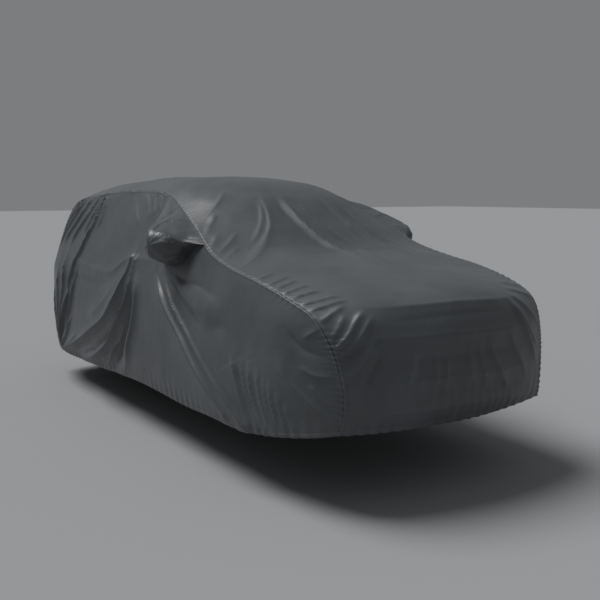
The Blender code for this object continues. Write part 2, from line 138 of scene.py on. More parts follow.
# Right mirror pocket, round its outline: where it is sewn on (y, z), halfway out (x, y, z), its tip (x, y, z)
# Its first five rows lie on the roof seam, from the windscreen pillar down to a short seam across the wing.
# name, sewn y z, middle x y z, tip x y z
POCKET = [
    ("pillar", -0.20, 1.665, -0.885, -0.445, 1.545, -1.085, -0.690, 1.445),
    ("front_1", -0.40, 1.600, -0.900, -0.560, 1.525, -1.070, -0.740, 1.442),
    ("front_2", -0.60, 1.535, -0.915, -0.700, 1.490, -1.060, -0.780, 1.430),
    ("front_3", -0.80, 1.455, -0.930, -0.810, 1.440, -1.050, -0.815, 1.410),
    ("branch", -0.98, 1.385, -0.930, -0.880, 1.385, -1.045, -0.835, 1.380),
    ("nose", -0.87, 1.340, -0.945, -0.875, 1.340, -1.040, -0.840, 1.345),
    ("low_front", -0.82, 1.265, -0.965, -0.850, 1.285, -1.045, -0.820, 1.300),
    ("low", -0.68, 1.220, -0.985, -0.760, 1.250, -1.060, -0.760, 1.275),
    ("low_back", -0.53, 1.220, -1.000, -0.660, 1.250, -1.080, -0.690, 1.275),
    ("back_1", -0.42, 1.280, -0.985, -0.585, 1.300, -1.090, -0.650, 1.305),
    ("back_2", -0.35, 1.380, -0.955, -0.540, 1.375, -1.095, -0.635, 1.355),
    ("back_3", -0.28, 1.500, -0.920, -0.490, 1.455, -1.095, -0.645, 1.405),
]
SEAM_ROWS = 5
POCKET_TIP = (-1.105, -0.735, 1.360)


def column(rows, n):
    return np.array([row[n] for row in rows], float)


def smooth_curve(x, y):
    """A smooth curve through the points that never overshoots them."""
    step = np.diff(x)
    rise = np.diff(y) / step
    slope = np.zeros(len(x))
    slope[0] = rise[0]
    slope[-1] = rise[-1]
    for i in range(1, len(x) - 1):
        before = rise[i - 1]
        after = rise[i]
        if before * after > 0:
            w1 = 2 * step[i] + step[i - 1]
            w2 = step[i] + 2 * step[i - 1]
            slope[i] = (w1 + w2) / (w1 / before + w2 / after)

    def curve(at):
        at = np.clip(at, x[0], x[-1])
        i = np.clip(np.searchsorted(x, at, side="right") - 1, 0, len(step) - 1)
        t = (at - x[i]) / step[i]
        start = y[i] * (1 + 2 * t) * (1 - t) ** 2 + slope[i] * step[i] * t * (1 - t) ** 2
        end = y[i + 1] * t * t * (3 - 2 * t) + slope[i + 1] * step[i] * t * t * (t - 1)
        return start + end

    return curve


def unit(vectors):
    return vectors / np.maximum(np.linalg.norm(vectors, axis=-1, keepdims=True), 1e-12)


# ---------- the cover's outer surface ----------

plan = smooth_curve(column(PLAN, 1), column(PLAN, 2))
section = smooth_curve(column(SECTION, 1), column(SECTION, 2))


def half_width(y, z):
    return plan(y) * section(z)


def strip_stations():
    """Share of the strip's length at each row of STRIP."""
    yc, zc, ys, zs = (column(STRIP, n) for n in (1, 2, 3, 4))
    xs = half_width(ys, zs)
    seam = np.stack([xs, ys, zs], 1)
    centre = np.stack([0 * xs, yc, zc], 1)
    lengths = 0.5 * np.linalg.norm(np.diff(seam, axis=0), axis=1)
    lengths = lengths + 0.5 * np.linalg.norm(np.diff(centre, axis=0), axis=1)
    s = np.concatenate([[0], np.cumsum(lengths)])
    return s / s[-1]


STATIONS = strip_stations()
STATION_NAMES = [row[0] for row in STRIP]
# Where the strip's seam turns from a front or rear edge of the side into its top edge
S_FRONT = STATIONS[STATION_NAMES.index("lip")]
S_REAR = STATIONS[STATION_NAMES.index("roof_end")]
centre_y, centre_z, seam_y, seam_z, late_y, late_z = (smooth_curve(STATIONS, column(STRIP, n)) for n in range(1, 7))
hem_y = smooth_curve(column(HEM, 1), column(HEM, 2))
hem_z = smooth_curve(column(HEM, 1), column(HEM, 3))


def strip_point(s, t):
    """Centre strip: s runs back from the front hem over the roof, t from the right seam (-1) to the left (1)."""
    a = np.abs(t)
    ys = seam_y(s)
    zs = seam_z(s)
    x = t * half_width(ys, zs)
    y = centre_y(s) + (ys - centre_y(s)) * a ** late_y(s)
    z = centre_z(s) + (zs - centre_z(s)) * a ** late_z(s)
    return np.stack([x, y, z], -1)


def seam_yz(s):
    return np.stack([seam_y(s), seam_z(s)], -1)


def hem_yz(u):
    return np.stack([hem_y(u), hem_z(u)], -1)


def side_point(u, v, hand):
    """Side: u runs back along the car, v down from the roof seam. hand is -1 on the car's right, 1 on its left."""
    back = u[..., None]
    down = v[..., None]
    top = seam_yz(S_FRONT + (S_REAR - S_FRONT) * u)
    front = seam_yz(S_FRONT * (1 - v))
    rear = seam_yz(S_REAR + (1 - S_REAR) * v)
    yz = (1 - down) * top + down * hem_yz(u) + (1 - back) * front + back * rear
    yz = yz - (1 - back) * (1 - down) * seam_yz(S_FRONT) - back * (1 - down) * seam_yz(S_REAR)
    yz = yz - (1 - back) * down * hem_yz(0.0) - back * down * hem_yz(1.0)
    x = hand * half_width(yz[..., 0], yz[..., 1])
    return np.concatenate([x[..., None], yz], -1)


# ---------- folds ----------

# Folds on the right side, through points y, z (height above the ground).
# name, rise mm, half width at start mm, at end mm, lean, strength at start, at end, points
SIDE_CREASES = [
    ("door_back_soft", 11, 40, 60, 0.0, 0.2, 0.0, [(0.07, 1.20), (0.16, 1.06), (0.37, 0.92), (0.54, 0.82), (0.94, 0.62)]),
    ("door_back", 46, 20, 36, 0.5, 0.5, 0.5, [(0.00, 1.22), (0.05, 1.09), (0.20, 0.91), (0.45, 0.73), (0.82, 0.57), (1.24, 0.41), (1.66, 0.28)]),
    ("door_middle", 50, 20, 34, 0.4, 0.5, 0.3, [(-0.07, 1.20), (-0.08, 1.06), (0.00, 0.87), (0.19, 0.69), (0.40, 0.53), (0.78, 0.37), (1.05, 0.31)]),
    ("door_front", 31, 26, 40, 0.3, 0.3, 0.3, [(-0.12, 1.17), (-0.20, 1.01), (-0.16, 0.79), (-0.03, 0.55), (0.06, 0.40)]),
    ("door_valley_back", -42, 30, 44, 0.0, 0.2, 0.2, [(-0.03, 1.08), (0.10, 0.88), (0.30, 0.66), (0.58, 0.49), (0.90, 0.38)]),
    ("door_valley_front", -39, 28, 44, 0.0, 0.2, 0.3, [(-0.12, 1.04), (-0.08, 0.84), (0.06, 0.64), (0.20, 0.46), (0.34, 0.34)]),
    ("door_valley_rear", -20, 50, 70, 0.0, 0.0, 0.2, [(0.12, 1.02), (0.34, 0.82), (0.66, 0.64), (1.02, 0.50), (1.40, 0.40)]),
    ("door_fine_1", 14, 10, 16, 0.0, 0.0, 0.6, [(0.30, 0.62), (0.52, 0.50), (0.80, 0.44), (1.20, 0.34)]),
    ("door_fine_2", 11, 10, 14, 0.0, 0.0, 0.6, [(0.16, 0.60), (0.30, 0.48), (0.52, 0.38)]),
    ("door_fine_3", 11, 10, 14, 0.0, 0.0, 0.5, [(0.02, 0.78), (0.12, 0.62), (0.28, 0.50), (0.44, 0.36)]),
    ("wing_upper", 29, 16, 28, 0.5, 0.2, 0.5, [(-0.38, 1.17), (-0.58, 1.05), (-0.72, 0.93), (-0.91, 0.79), (-1.11, 0.63), (-1.30, 0.51), (-1.46, 0.40)]),
    ("wing_lower", 30, 16, 28, 0.5, 0.2, 0.6, [(-0.51, 1.17), (-0.75, 1.01), (-0.97, 0.86), (-1.19, 0.71), (-1.36, 0.59), (-1.54, 0.47), (-1.66, 0.38)]),
    ("wing_valley", -19, 24, 40, 0.0, 0.2, 0.2, [(-0.46, 1.15), (-0.68, 1.02), (-0.94, 0.82), (-1.14, 0.67), (-1.40, 0.51)]),
    ("wing_dark", -20, 22, 34, 0.0, 0.3, 0.0, [(-0.62, 1.16), (-0.89, 1.02), (-1.08, 0.92), (-1.24, 0.86)]),
    ("wing_shoulder", 13, 24, 40, 0.0, 0.2, 0.0, [(-0.64, 1.19), (-0.90, 1.08), (-1.14, 0.99), (-1.34, 0.96)]),
    ("wing_curve", -17, 16, 40, 0.0, 0.4, 0.0, [(-0.68, 1.17), (-0.94, 1.13), (-1.11, 1.12), (-1.26, 1.09), (-1.42, 1.04)]),
    ("wing_hollow", -22, 80, 90, 0.0, 0.3, 0.1, [(-1.24, 0.87), (-1.44, 0.91), (-1.57, 0.86), (-1.66, 0.78), (-1.68, 0.64)]),
    ("wing_fine", 9, 12, 18, 0.0, 0.0, 0.6, [(-1.02, 0.90), (-1.22, 0.76), (-1.42, 0.62), (-1.60, 0.50), (-1.70, 0.38)]),
    ("arch_1", 12, 12, 16, 0.3, 0.0, 0.7, [(-1.54, 0.82), (-1.62, 0.60), (-1.72, 0.40)]),
    ("arch_2", 13, 12, 16, 0.3, 0.0, 0.7, [(-1.64, 0.80), (-1.70, 0.58), (-1.79, 0.39)]),
    ("arch_3", 12, 10, 15, 0.3, 0.0, 0.7, [(-1.72, 0.78), (-1.76, 0.58), (-1.85, 0.39)]),
    ("arch_4", 13, 11, 15, 0.3, 0.0, 0.7, [(-1.80, 0.76), (-1.84, 0.58), (-1.91, 0.40)]),
    ("arch_5", 10, 10, 14, 0.3, 0.0, 0.7, [(-1.86, 0.72), (-1.89, 0.56), (-1.95, 0.40)]),
    ("arch_6", 12, 10, 14, 0.3, 0.0, 0.7, [(-1.91, 0.70), (-1.94, 0.55), (-1.99, 0.40)]),
    ("arch_7", 9, 10, 13, 0.3, 0.0, 0.6, [(-1.97, 0.64), (-2.00, 0.53), (-2.04, 0.41)]),
    ("arch_8", 8, 9, 12, 0.3, 0.0, 0.6, [(-2.03, 0.58), (-2.06, 0.50), (-2.10, 0.42)]),
    ("arch_valley", -15, 40, 60, 0.0, 0.0, 0.3, [(-1.60, 0.74), (-1.68, 0.56), (-1.80, 0.40)]),
    ("corner_valley", -14, 18, 26, 0.0, 0.2, 0.5, [(-2.03, 0.98), (-2.14, 0.89), (-2.26, 0.86)]),
    ("corner_up", 9, 12, 14, 0.0, 0.1, 0.6, [(-2.14, 0.94), (-2.20, 0.98), (-2.25, 1.01)]),
    ("corner_long", 14, 30, 26, 0.4, 0.0, 0.4, [(-1.97, 0.88), (-2.08, 0.70), (-2.20, 0.61), (-2.31, 0.51)]),
    ("corner_short", 8, 10, 14, 0.0, 0.0, 0.6, [(-2.19, 0.71), (-2.27, 0.62)]),
    ("corner_mid", 8, 12, 16, 0.0, 0.0, 0.6, [(-2.12, 0.80), (-2.22, 0.76), (-2.30, 0.76)]),
    ("quarter_long", 32, 14, 22, 0.5, 0.7, 0.5, [(1.07, 1.64), (1.07, 1.48), (1.12, 1.32), (1.19, 1.16), (1.33, 0.93), (1.52, 0.66), (1.70, 0.38)]),
    ("quarter_1", 22, 12, 18, 0.4, 0.8, 0.0, [(1.25, 1.63), (1.32, 1.50), (1.44, 1.37), (1.56, 1.20)]),
    ("quarter_2", 22, 12, 18, 0.4, 0.8, 0.0, [(1.42, 1.62), (1.52, 1.49), (1.66, 1.34), (1.78, 1.20)]),
    ("quarter_3", 20, 12, 18, 0.4, 0.8, 0.0, [(1.60, 1.61), (1.70, 1.48), (1.84, 1.32), (1.94, 1.16)]),
    ("quarter_4", 17, 10, 14, 0.4, 0.8, 0.0, [(1.72, 1.60), (1.84, 1.46), (1.96, 1.30)]),
    ("quarter_5", 17, 10, 16, 0.4, 0.8, 0.0, [(1.16, 1.63), (1.20, 1.48), (1.28, 1.32)]),
    ("quarter_6", 14, 9, 14, 0.4, 0.8, 0.0, [(0.98, 1.64), (0.96, 1.50), (0.99, 1.38)]),
    ("quarter_low_1", 27, 16, 20, 0.4, 0.0, 0.7, [(1.56, 1.28), (1.50, 1.08), (1.52, 0.80), (1.62, 0.52), (1.72, 0.30)]),
    ("quarter_low_2", 25, 16, 20, 0.4, 0.0, 0.7, [(1.14, 1.20), (1.20, 0.90), (1.38, 0.62), (1.62, 0.34)]),
    ("quarter_low_3", 22, 14, 18, 0.4, 0.0, 0.7, [(1.72, 1.10), (1.70, 0.80), (1.72, 0.54), (1.76, 0.30)]),
    ("quarter_low_4", 20, 12, 16, 0.4, 0.0, 0.7, [(1.26, 0.66), (1.46, 0.46), (1.68, 0.31)]),
    ("quarter_low_5", 17, 12, 14, 0.4, 0.0, 0.7, [(1.86, 0.90), (1.82, 0.60), (1.80, 0.32)]),
    ("quarter_low_6", 14, 10, 14, 0.4, 0.0, 0.7, [(1.10, 0.52), (1.36, 0.40), (1.66, 0.29)]),
    ("quarter_valley", -30, 34, 44, 0.0, 0.0, 0.3, [(1.36, 1.10), (1.40, 0.82), (1.54, 0.52), (1.68, 0.34)]),
    ("window_1", 10, 9, 14, 0.4, 0.8, 0.0, [(0.47, 1.66), (0.30, 1.56), (0.12, 1.44)]),
    ("window_2", 10, 9, 14, 0.4, 0.8, 0.0, [(0.23, 1.67), (0.08, 1.58), (-0.04, 1.49)]),
    ("window_3", 10, 9, 12, 0.4, 0.8, 0.0, [(0.09, 1.67), (0.00, 1.60), (-0.08, 1.52)]),
    ("window_4", 8, 8, 12, 0.4, 0.8, 0.0, [(-0.04, 1.67), (-0.08, 1.62), (-0.12, 1.56)]),
    ("window_5", 7, 10, 16, 0.0, 0.6, 0.0, [(0.66, 1.66), (0.56, 1.54), (0.44, 1.44)]),
    ("belt_ridge", 11, 30, 30, 0.0, 0.0, 0.0, [(1.60, 1.16), (1.20, 1.12), (0.64, 1.08), (0.34, 1.10), (0.14, 1.20), (-0.02, 1.22), (-0.30, 1.22), (-0.60, 1.20)]),
    ("belt_trough", -14, 45, 45, 0.0, 0.0, 0.0, [(1.50, 1.04), (0.90, 0.98), (0.44, 1.00), (0.24, 1.08)]),
]

# Folds on the centre strip, through points x, b, where b is the way back along the cloth from the front hem.
# name, rise mm, half width at start mm, at end mm, lean, strength at start, at end, points
STRIP_CREASES = [
    ("screen_1", 20, 16, 22, -0.5, 0.0, 0.0, [(-0.06, 2.66), (-0.09, 2.40), (-0.09, 2.18), (-0.06, 1.97), (-0.02, 1.75), (-0.02, 1.50), (0.00, 1.27), (0.06, 1.12)]),
    ("screen_1_valley", -12, 26, 34, 0.0, 0.0, 0.0, [(-0.14, 2.52), (-0.16, 2.26), (-0.14, 2.04), (-0.10, 1.80), (-0.08, 1.56)]),
    ("screen_2", 16, 14, 20, -0.5, 0.0, 0.0, [(0.00, 2.54), (0.02, 2.36), (0.03, 2.18), (0.06, 2.02), (0.12, 1.84), (0.13, 1.64), (0.10, 1.38), (0.10, 1.18)]),
    ("screen_3", 18, 12, 20, -0.5, 0.3, 0.0, [(0.22, 2.68), (0.26, 2.50), (0.28, 2.31), (0.31, 2.12), (0.37, 1.92), (0.42, 1.74), (0.45, 1.54), (0.46, 1.36)]),
    ("screen_3_twin", 12, 11, 16, -0.5, 0.3, 0.0, [(0.30, 2.64), (0.34, 2.46), (0.37, 2.28), (0.42, 2.08), (0.50, 1.88), (0.56, 1.68), (0.60, 1.50)]),
    ("screen_3_valley", -11, 22, 30, 0.0, 0.0, 0.0, [(0.20, 2.44), (0.23, 2.20), (0.30, 1.96), (0.36, 1.76)]),
    ("screen_4", 12, 11, 15, -0.4, 0.3, 0.2, [(0.40, 2.58), (0.56, 2.44), (0.68, 2.28), (0.75, 2.08), (0.78, 1.86), (0.80, 1.70)]),
    ("screen_5", 15, 14, 20, 0.5, 0.0, 0.0, [(-0.20, 2.56), (-0.25, 2.40), (-0.30, 2.22), (-0.36, 2.08), (-0.46, 1.94), (-0.62, 1.75), (-0.80, 1.54)]),
    ("screen_5_twin", 9, 10, 14, 0.5, 0.0, 0.0, [(-0.27, 2.44), (-0.33, 2.26), (-0.40, 2.12), (-0.50, 1.98), (-0.60, 1.86)]),
    ("screen_6", 8, 12, 18, 0.4, 0.0, 0.4, [(-0.42, 2.62), (-0.52, 2.46), (-0.64, 2.33), (-0.76, 2.22)]),
    ("screen_7", 8, 9, 12, 0.4, 0.0, 0.5, [(-0.62, 2.30), (-0.70, 2.18), (-0.78, 2.06)]),
    ("screen_8", 8, 9, 12, 0.4, 0.2, 0.6, [(-0.72, 2.04), (-0.77, 1.96), (-0.83, 1.88)]),
    ("screen_9", 9, 10, 14, 0.4, 0.0, 0.6, [(-0.58, 2.06), (-0.70, 1.92), (-0.83, 1.78)]),
    ("screen_10", 9, 11, 16, 0.4, 0.0, 0.5, [(-0.40, 2.00), (-0.56, 1.78), (-0.70, 1.62), (-0.84, 1.50)]),
    ("screen_11", 7, 9, 12, 0.4, 0.0, 0.5, [(-0.66, 1.88), (-0.76, 1.76), (-0.85, 1.66)]),
    ("cowl_hollow", -10, 60, 70, 0.0, 0.0, 0.0, [(-0.50, 1.66), (-0.20, 1.70), (0.20, 1.70), (0.54, 1.66)]),
    ("bonnet_1", 9, 9, 14, 0.4, 0.7, 0.0, [(-0.87, 1.24), (-0.80, 1.28), (-0.72, 1.34)]),
    ("bonnet_2", 10, 9, 14, 0.4, 0.7, 0.0, [(-0.87, 1.13), (-0.79, 1.17), (-0.68, 1.24)]),
    ("bonnet_3", 10, 9, 14, 0.4, 0.7, 0.0, [(-0.87, 1.05), (-0.79, 1.09), (-0.68, 1.15)]),
    ("bonnet_4", 10, 9, 14, 0.4, 0.7, 0.0, [(-0.87, 0.97), (-0.79, 1.00), (-0.66, 1.06)]),
    ("bonnet_5", 12, 9, 14, 0.4, 0.7, 0.0, [(-0.86, 0.90), (-0.78, 0.92), (-0.66, 0.95)]),
    ("bonnet_6", 12, 9, 14, 0.4, 0.7, 0.0, [(-0.85, 0.82), (-0.75, 0.83), (-0.60, 0.86)]),
    ("bonnet_7", 12, 9, 14, 0.4, 0.7, 0.0, [(-0.84, 0.75), (-0.74, 0.77), (-0.60, 0.80)]),
    ("bonnet_8", 10, 9, 13, 0.4, 0.7, 0.0, [(-0.82, 0.66), (-0.74, 0.70), (-0.64, 0.76)]),
    ("corner_1", 18, 12, 18, -0.5, 0.7, 0.0, [(-0.78, 0.52), (-0.72, 0.56), (-0.64, 0.64), (-0.56, 0.70)]),
    ("corner_2", 14, 10, 15, -0.4, 0.7, 0.0, [(-0.77, 0.48), (-0.68, 0.52), (-0.60, 0.60), (-0.54, 0.66)]),
    ("corner_3", 10, 10, 14, -0.4, 0.7, 0.0, [(-0.79, 0.58), (-0.74, 0.62), (-0.68, 0.69)]),
    ("corner_dark", -14, 16, 22, 0.0, 0.4, 0.0, [(-0.75, 0.46), (-0.69, 0.48), (-0.62, 0.54)]),
    ("face_v", 15, 12, 18, -0.4, 0.0, 0.2, [(-0.55, 0.54), (-0.61, 0.45), (-0.66, 0.36), (-0.70, 0.20)]),
    ("face_v_valley", -11, 18, 24, 0.0, 0.0, 0.2, [(-0.51, 0.50), (-0.57, 0.41), (-0.62, 0.32), (-0.66, 0.18)]),
    ("face_v_2", 8, 10, 13, -0.3, 0.0, 0.5, [(-0.66, 0.39), (-0.71, 0.36), (-0.75, 0.33)]),
    ("face_v_3", 8, 10, 13, -0.3, 0.0, 0.5, [(-0.64, 0.30), (-0.70, 0.25), (-0.75, 0.23)]),
    ("face_1", 12, 12, 20, -0.4, 0.0, 0.2, [(-0.35, 0.48), (-0.37, 0.36), (-0.45, 0.22), (-0.50, 0.12)]),
    ("face_1_valley", -8, 16, 24, 0.0, 0.0, 0.2, [(-0.30, 0.44), (-0.33, 0.32), (-0.40, 0.18)]),
    ("face_2", 11, 12, 20, -0.4, 0.0, 0.3, [(-0.23, 0.46), (-0.22, 0.33), (-0.24, 0.20), (-0.26, 0.06)]),
    ("face_3", 8, 10, 16, -0.4, 0.0, 0.2, [(-0.14, 0.40), (-0.15, 0.28), (-0.17, 0.16)]),
    ("face_4", 5, 12, 18, 0.0, 0.0, 0.2, [(0.02, 0.44), (0.03, 0.30), (0.00, 0.14)]),
    ("face_5", 11, 12, 18, 0.4, 0.0, 0.2, [(0.18, 0.48), (0.21, 0.36), (0.27, 0.26), (0.40, 0.12)]),
    ("face_6", 11, 12, 18, 0.4, 0.0, 0.2, [(0.33, 0.50), (0.42, 0.36), (0.56, 0.18)]),
    ("face_7", 7, 10, 16, 0.4, 0.0, 0.2, [(0.10, 0.46), (0.12, 0.30), (0.18, 0.16)]),
    ("far_1", 13, 12, 16, 0.4, 0.2, 0.2, [(0.42, 0.66), (0.52, 0.54), (0.62, 0.42), (0.70, 0.34)]),
    ("far_2", 14, 12, 18, 0.4, 0.2, 0.2, [(0.43, 0.64), (0.50, 0.52), (0.58, 0.40), (0.68, 0.24)]),
    ("far_3", 11, 11, 15, 0.4, 0.2, 0.4, [(0.46, 0.70), (0.58, 0.62), (0.70, 0.54), (0.77, 0.50)]),
    ("far_4", 11, 11, 15, 0.4, 0.2, 0.4, [(0.50, 0.76), (0.64, 0.72), (0.80, 0.68)]),
    ("far_5", 10, 11, 15, 0.4, 0.2, 0.4, [(0.54, 0.84), (0.68, 0.82), (0.83, 0.80)]),
    ("lip_edge", 10, 22, 22, 0.0, 0.2, 0.2, [(-0.58, 0.72), (-0.50, 0.69), (-0.30, 0.67), (0.10, 0.66), (0.40, 0.66), (0.56, 0.68)]),
    ("lip_under", -7, 40, 40, 0.0, 0.0, 0.0, [(-0.56, 0.60), (-0.30, 0.58), (0.10, 0.575), (0.46, 0.58)]),
    ("mid_edge", 11, 24, 24, 0.0, 0.2, 0.2, [(-0.66, 0.53), (-0.40, 0.495), (-0.14, 0.48), (0.35, 0.48), (0.62, 0.50)]),
    ("mid_under", -12, 46, 46, 0.0, 0.0, 0.0, [(-0.62, 0.40), (-0.30, 0.385), (0.10, 0.38), (0.58, 0.39)]),
    ("low_edge", 10, 24, 24, 0.0, 0.2, 0.2, [(-0.66, 0.285), (-0.28, 0.28), (0.24, 0.27), (0.62, 0.27)]),
    ("low_under", -10, 36, 36, 0.0, 0.0, 0.0, [(-0.64, 0.19), (-0.28, 0.185), (0.24, 0.18), (0.60, 0.18)]),
    ("curl_edge", 6, 18, 18, 0.0, 0.0, 0.0, [(-0.68, 0.125), (-0.29, 0.115), (0.04, 0.115), (0.55, 0.10)]),
    ("roof_soft", 4, 60, 80, 0.0, 0.0, 0.0, [(-0.40, 3.10), (-0.20, 3.60), (-0.30, 4.30)]),
    ("gate_left", 9, 18, 30, 0.0, 0.3, 0.2, [(0.55, 4.98), (0.48, 5.30), (0.36, 5.80)]),
    ("gate_right", 9, 18, 30, 0.0, 0.3, 0.2, [(-0.58, 4.98), (-0.50, 5.36), (-0.40, 5.90)]),
    ("gate_low_left", 9, 16, 22, 0.0, 0.0, 0.6, [(0.30, 5.70), (0.40, 6.00), (0.50, 6.40)]),
    ("gate_low_right", 9, 16, 22, 0.0, 0.0, 0.6, [(-0.34, 5.76), (-0.44, 6.06), (-0.52, 6.40)]),
    ("gate_middle", 6, 20, 26, 0.0, 0.0, 0.5, [(0.02, 5.60), (-0.02, 6.00), (0.02, 6.40)]),
    ("gate_corner_left", 8, 12, 18, 0.0, 0.5, 0.0, [(0.68, 5.10), (0.56, 5.22), (0.46, 5.44)]),
    ("gate_corner_right", 8, 12, 18, 0.0, 0.5, 0.0, [(-0.68, 5.10), (-0.58, 5.26), (-0.46, 5.40)]),
]

# Gathers across the seams between the strip and the sides, by the way b along the seam from the front hem.
# name, from b, to b, spacing, rise mm on the strip, rise mm on the side, reach on the strip, on the side, slant
PUCKERS = [
    ("front_low", 0.00, 0.36, 0.036, 4.6, 4.0, 0.034, 0.026, 0.0),
    ("front_corner", 0.30, 0.66, 0.033, 5.6, 4.4, 0.050, 0.030, 0.3),
    ("bonnet_front", 0.62, 1.10, 0.052, 4.4, 2.6, 0.080, 0.022, 0.5),
    ("bonnet_back", 1.05, 1.75, 0.060, 2.4, 1.6, 0.050, 0.020, 0.4),
    ("pillar", 1.70, 2.75, 0.044, 2.0, 1.4, 0.026, 0.018, 0.0),
    ("roof", 2.75, 4.95, 0.040, 5.0, 3.4, 0.055, 0.050, -0.6),
    ("tail", 4.90, 6.49, 0.044, 4.0, 4.0, 0.040, 0.045, 0.0),
]

# Gathers along the hem, drawn in by its elastic: spacing, rise mm, reach up the cloth
HEM_GATHERS = [
    ("close", 0.034, 1.6, 0.045),
    ("wide", 0.081, 2.6, 0.090),
]
HEM_DEPTH = 0.025


def smooth_path(points, step):
    """Points about step apart on a smooth line through the given ones."""
    points = np.array(points, float)
    lengths = np.linalg.norm(np.diff(points, axis=0), axis=1)
    at = np.concatenate([[0], np.cumsum(lengths)])
    count = max(3, int(at[-1] / step) + 1)
    way = np.linspace(0, at[-1], count)
    if len(points) < 3:
        return np.stack([np.interp(way, at, points[:, k]) for k in range(points.shape[1])], 1)
    slope = np.gradient(points, at, axis=0)
    i = np.clip(np.searchsorted(at, way, side="right") - 1, 0, len(lengths) - 1)
    h = lengths[i][:, None]
    t = ((way - at[i]) / lengths[i])[:, None]
    start = points[i] * (1 + 2 * t) * (1 - t) ** 2 + slope[i] * h * t * (1 - t) ** 2
    end = points[i + 1] * t * t * (3 - 2 * t) + slope[i + 1] * h * t * t * (t - 1)
    return start + end


def ease(t):
    t = np.clip(t, 0, 1)
    return t * t * (3 - 2 * t)


def crease(rise, at, path, w0, w1, lean, start, end):
    """Height of one fold at the points at. Its crest is sharp and its flanks run out softly; lean widens one flank."""
    reach = 4.5 * max(w0, w1)
    low = path.min(0) - reach
    high = path.max(0) + reach
    near = np.all((at > low) & (at < high), axis=-1)
    height = np.zeros(at.shape[:-1])
    if not near.any():
        return height
    here = at[near]
    lengths = np.linalg.norm(np.diff(path, axis=0), axis=1)
    starts = np.concatenate([[0], np.cumsum(lengths)])
    nearest = np.full(len(here), 1e9)
    along = np.zeros(len(here))
    side = np.zeros(len(here))
    for i, length in enumerate(lengths):
        way = (path[i + 1] - path[i]) / length
        off = here - path[i]
        done = np.clip(off @ way, 0, length)
        gap = np.linalg.norm(off - done[:, None] * way, axis=1)
        closer = gap < nearest
        nearest = np.where(closer, gap, nearest)
        along = np.where(closer, starts[i] + done, along)
        if here.shape[1] == 2:
            side = np.where(closer, way[0] * off[:, 1] - way[1] * off[:, 0], side)
    share = along / starts[-1]
    width = w0 + (w1 - w0) * share
    width = width * np.where(side * lean > 0, 1 + 1.6 * abs(lean), 1 - 0.55 * abs(lean))
    round_off = 0.22 * width
    profile = np.exp(-(np.sqrt(nearest ** 2 + round_off ** 2) - round_off) / width)
    profile = profile * (1 - ease((nearest / width - 2.5) / 2.0))
    ends = (start + (1 - start) * ease(share / 0.28)) * (end + (1 - end) * ease((1 - share) / 0.3))
    height[near] = rise * profile * ends
    return height


def creases(table, at):
    total = np.zeros(at.shape[:-1])
    for _, rise, w0, w1, lean, start, end, points in table:
        path = smooth_path(points, 0.03)
        total += crease(rise / 1000, at, path, w0 / 1000, w1 / 1000, lean, start, end)
    return total


def rumple(at, seed, size, amount):
    """Gentle unevenness of the cloth, a sum of long waves in many directions."""
    dice = np.random.default_rng(seed)
    total = np.zeros(at.shape[:-1])
    for _ in range(9):
        turn = dice.uniform(0, math.pi)
        wave = size * dice.uniform(0.6, 1.7)
        phase = dice.uniform(0, 2 * math.pi)
        along = at[..., 0] * math.cos(turn) + at[..., 1] * math.sin(turn)
        total += np.sin(2 * math.pi * along / wave + phase) * wave / size
    return amount * total / 4.0


def uneven_wave(along, spacing, seed):
    """Gathers with uneven spacing and depth."""
    dice = np.random.default_rng(seed)
    a, b, c = dice.uniform(0, 6.28, 3)
    drift = 1.1 * np.sin(along / (spacing * 3.1) + a) + 0.8 * np.sin(along / (spacing * 1.7) + b)
    depth = 0.62 + 0.38 * np.sin(along / (spacing * 2.3) + c)
    wave = np.sin(2 * math.pi * along / spacing + drift)
    return depth * (np.sign(wave) * np.abs(wave) ** 0.8 * 0.7 + 0.3 * wave)


def puckers(along, away, on_side, hand):
    total = np.zeros(along.shape)
    for number, (_, first, last, spacing, rise_strip, rise_side, reach_strip, reach_side, slant) in enumerate(PUCKERS):
        rise = rise_side if on_side else rise_strip
        reach = reach_side if on_side else reach_strip
        middle = 0.5 * (rise_strip + rise_side)
        lean = slant * away * (1 if not on_side else -1)
        wave = uneven_wave(along + lean, spacing, 40 + number + (hand > 0) * 20)
        blend = ease(away / 0.02)
        size = (middle + (rise - middle) * blend) / 1000
        window = ease((along - first) / 0.06) * ease((last - along) / 0.06)
        if first == 0.0:
            window = ease((last - along) / 0.06)
        if last > 6.4:
            window = ease((along - first) / 0.06)
        total += size * wave * window * np.exp(-away / reach)
    return total


def seam_lip(away):
    """Both edges of a seam dip into it, between the low rolls of their turned-in allowances."""
    return 0.0030 * np.exp(-(((away - 0.009) / 0.005) ** 2)) - 0.0025 * np.exp(-((away / 0.003) ** 2))


def hem_gathers(along, up, seed):
    total = np.zeros(along.shape)
    for number, (_, spacing, rise, reach) in enumerate(HEM_GATHERS):
        wave = uneven_wave(along, spacing, seed + number)
        total += rise / 1000 * wave * np.exp(-((up / reach) ** 2))
    # The stitching holds the folded hem down in a shallow groove, and the elastic fills it out below.
    total -= 0.0016 * np.exp(-(((up - HEM_DEPTH) / 0.005) ** 2))
    total += 0.0018 * np.exp(-(((up - 0.45 * HEM_DEPTH) / 0.010) ** 2))
    return total


# ---------- sheets ----------


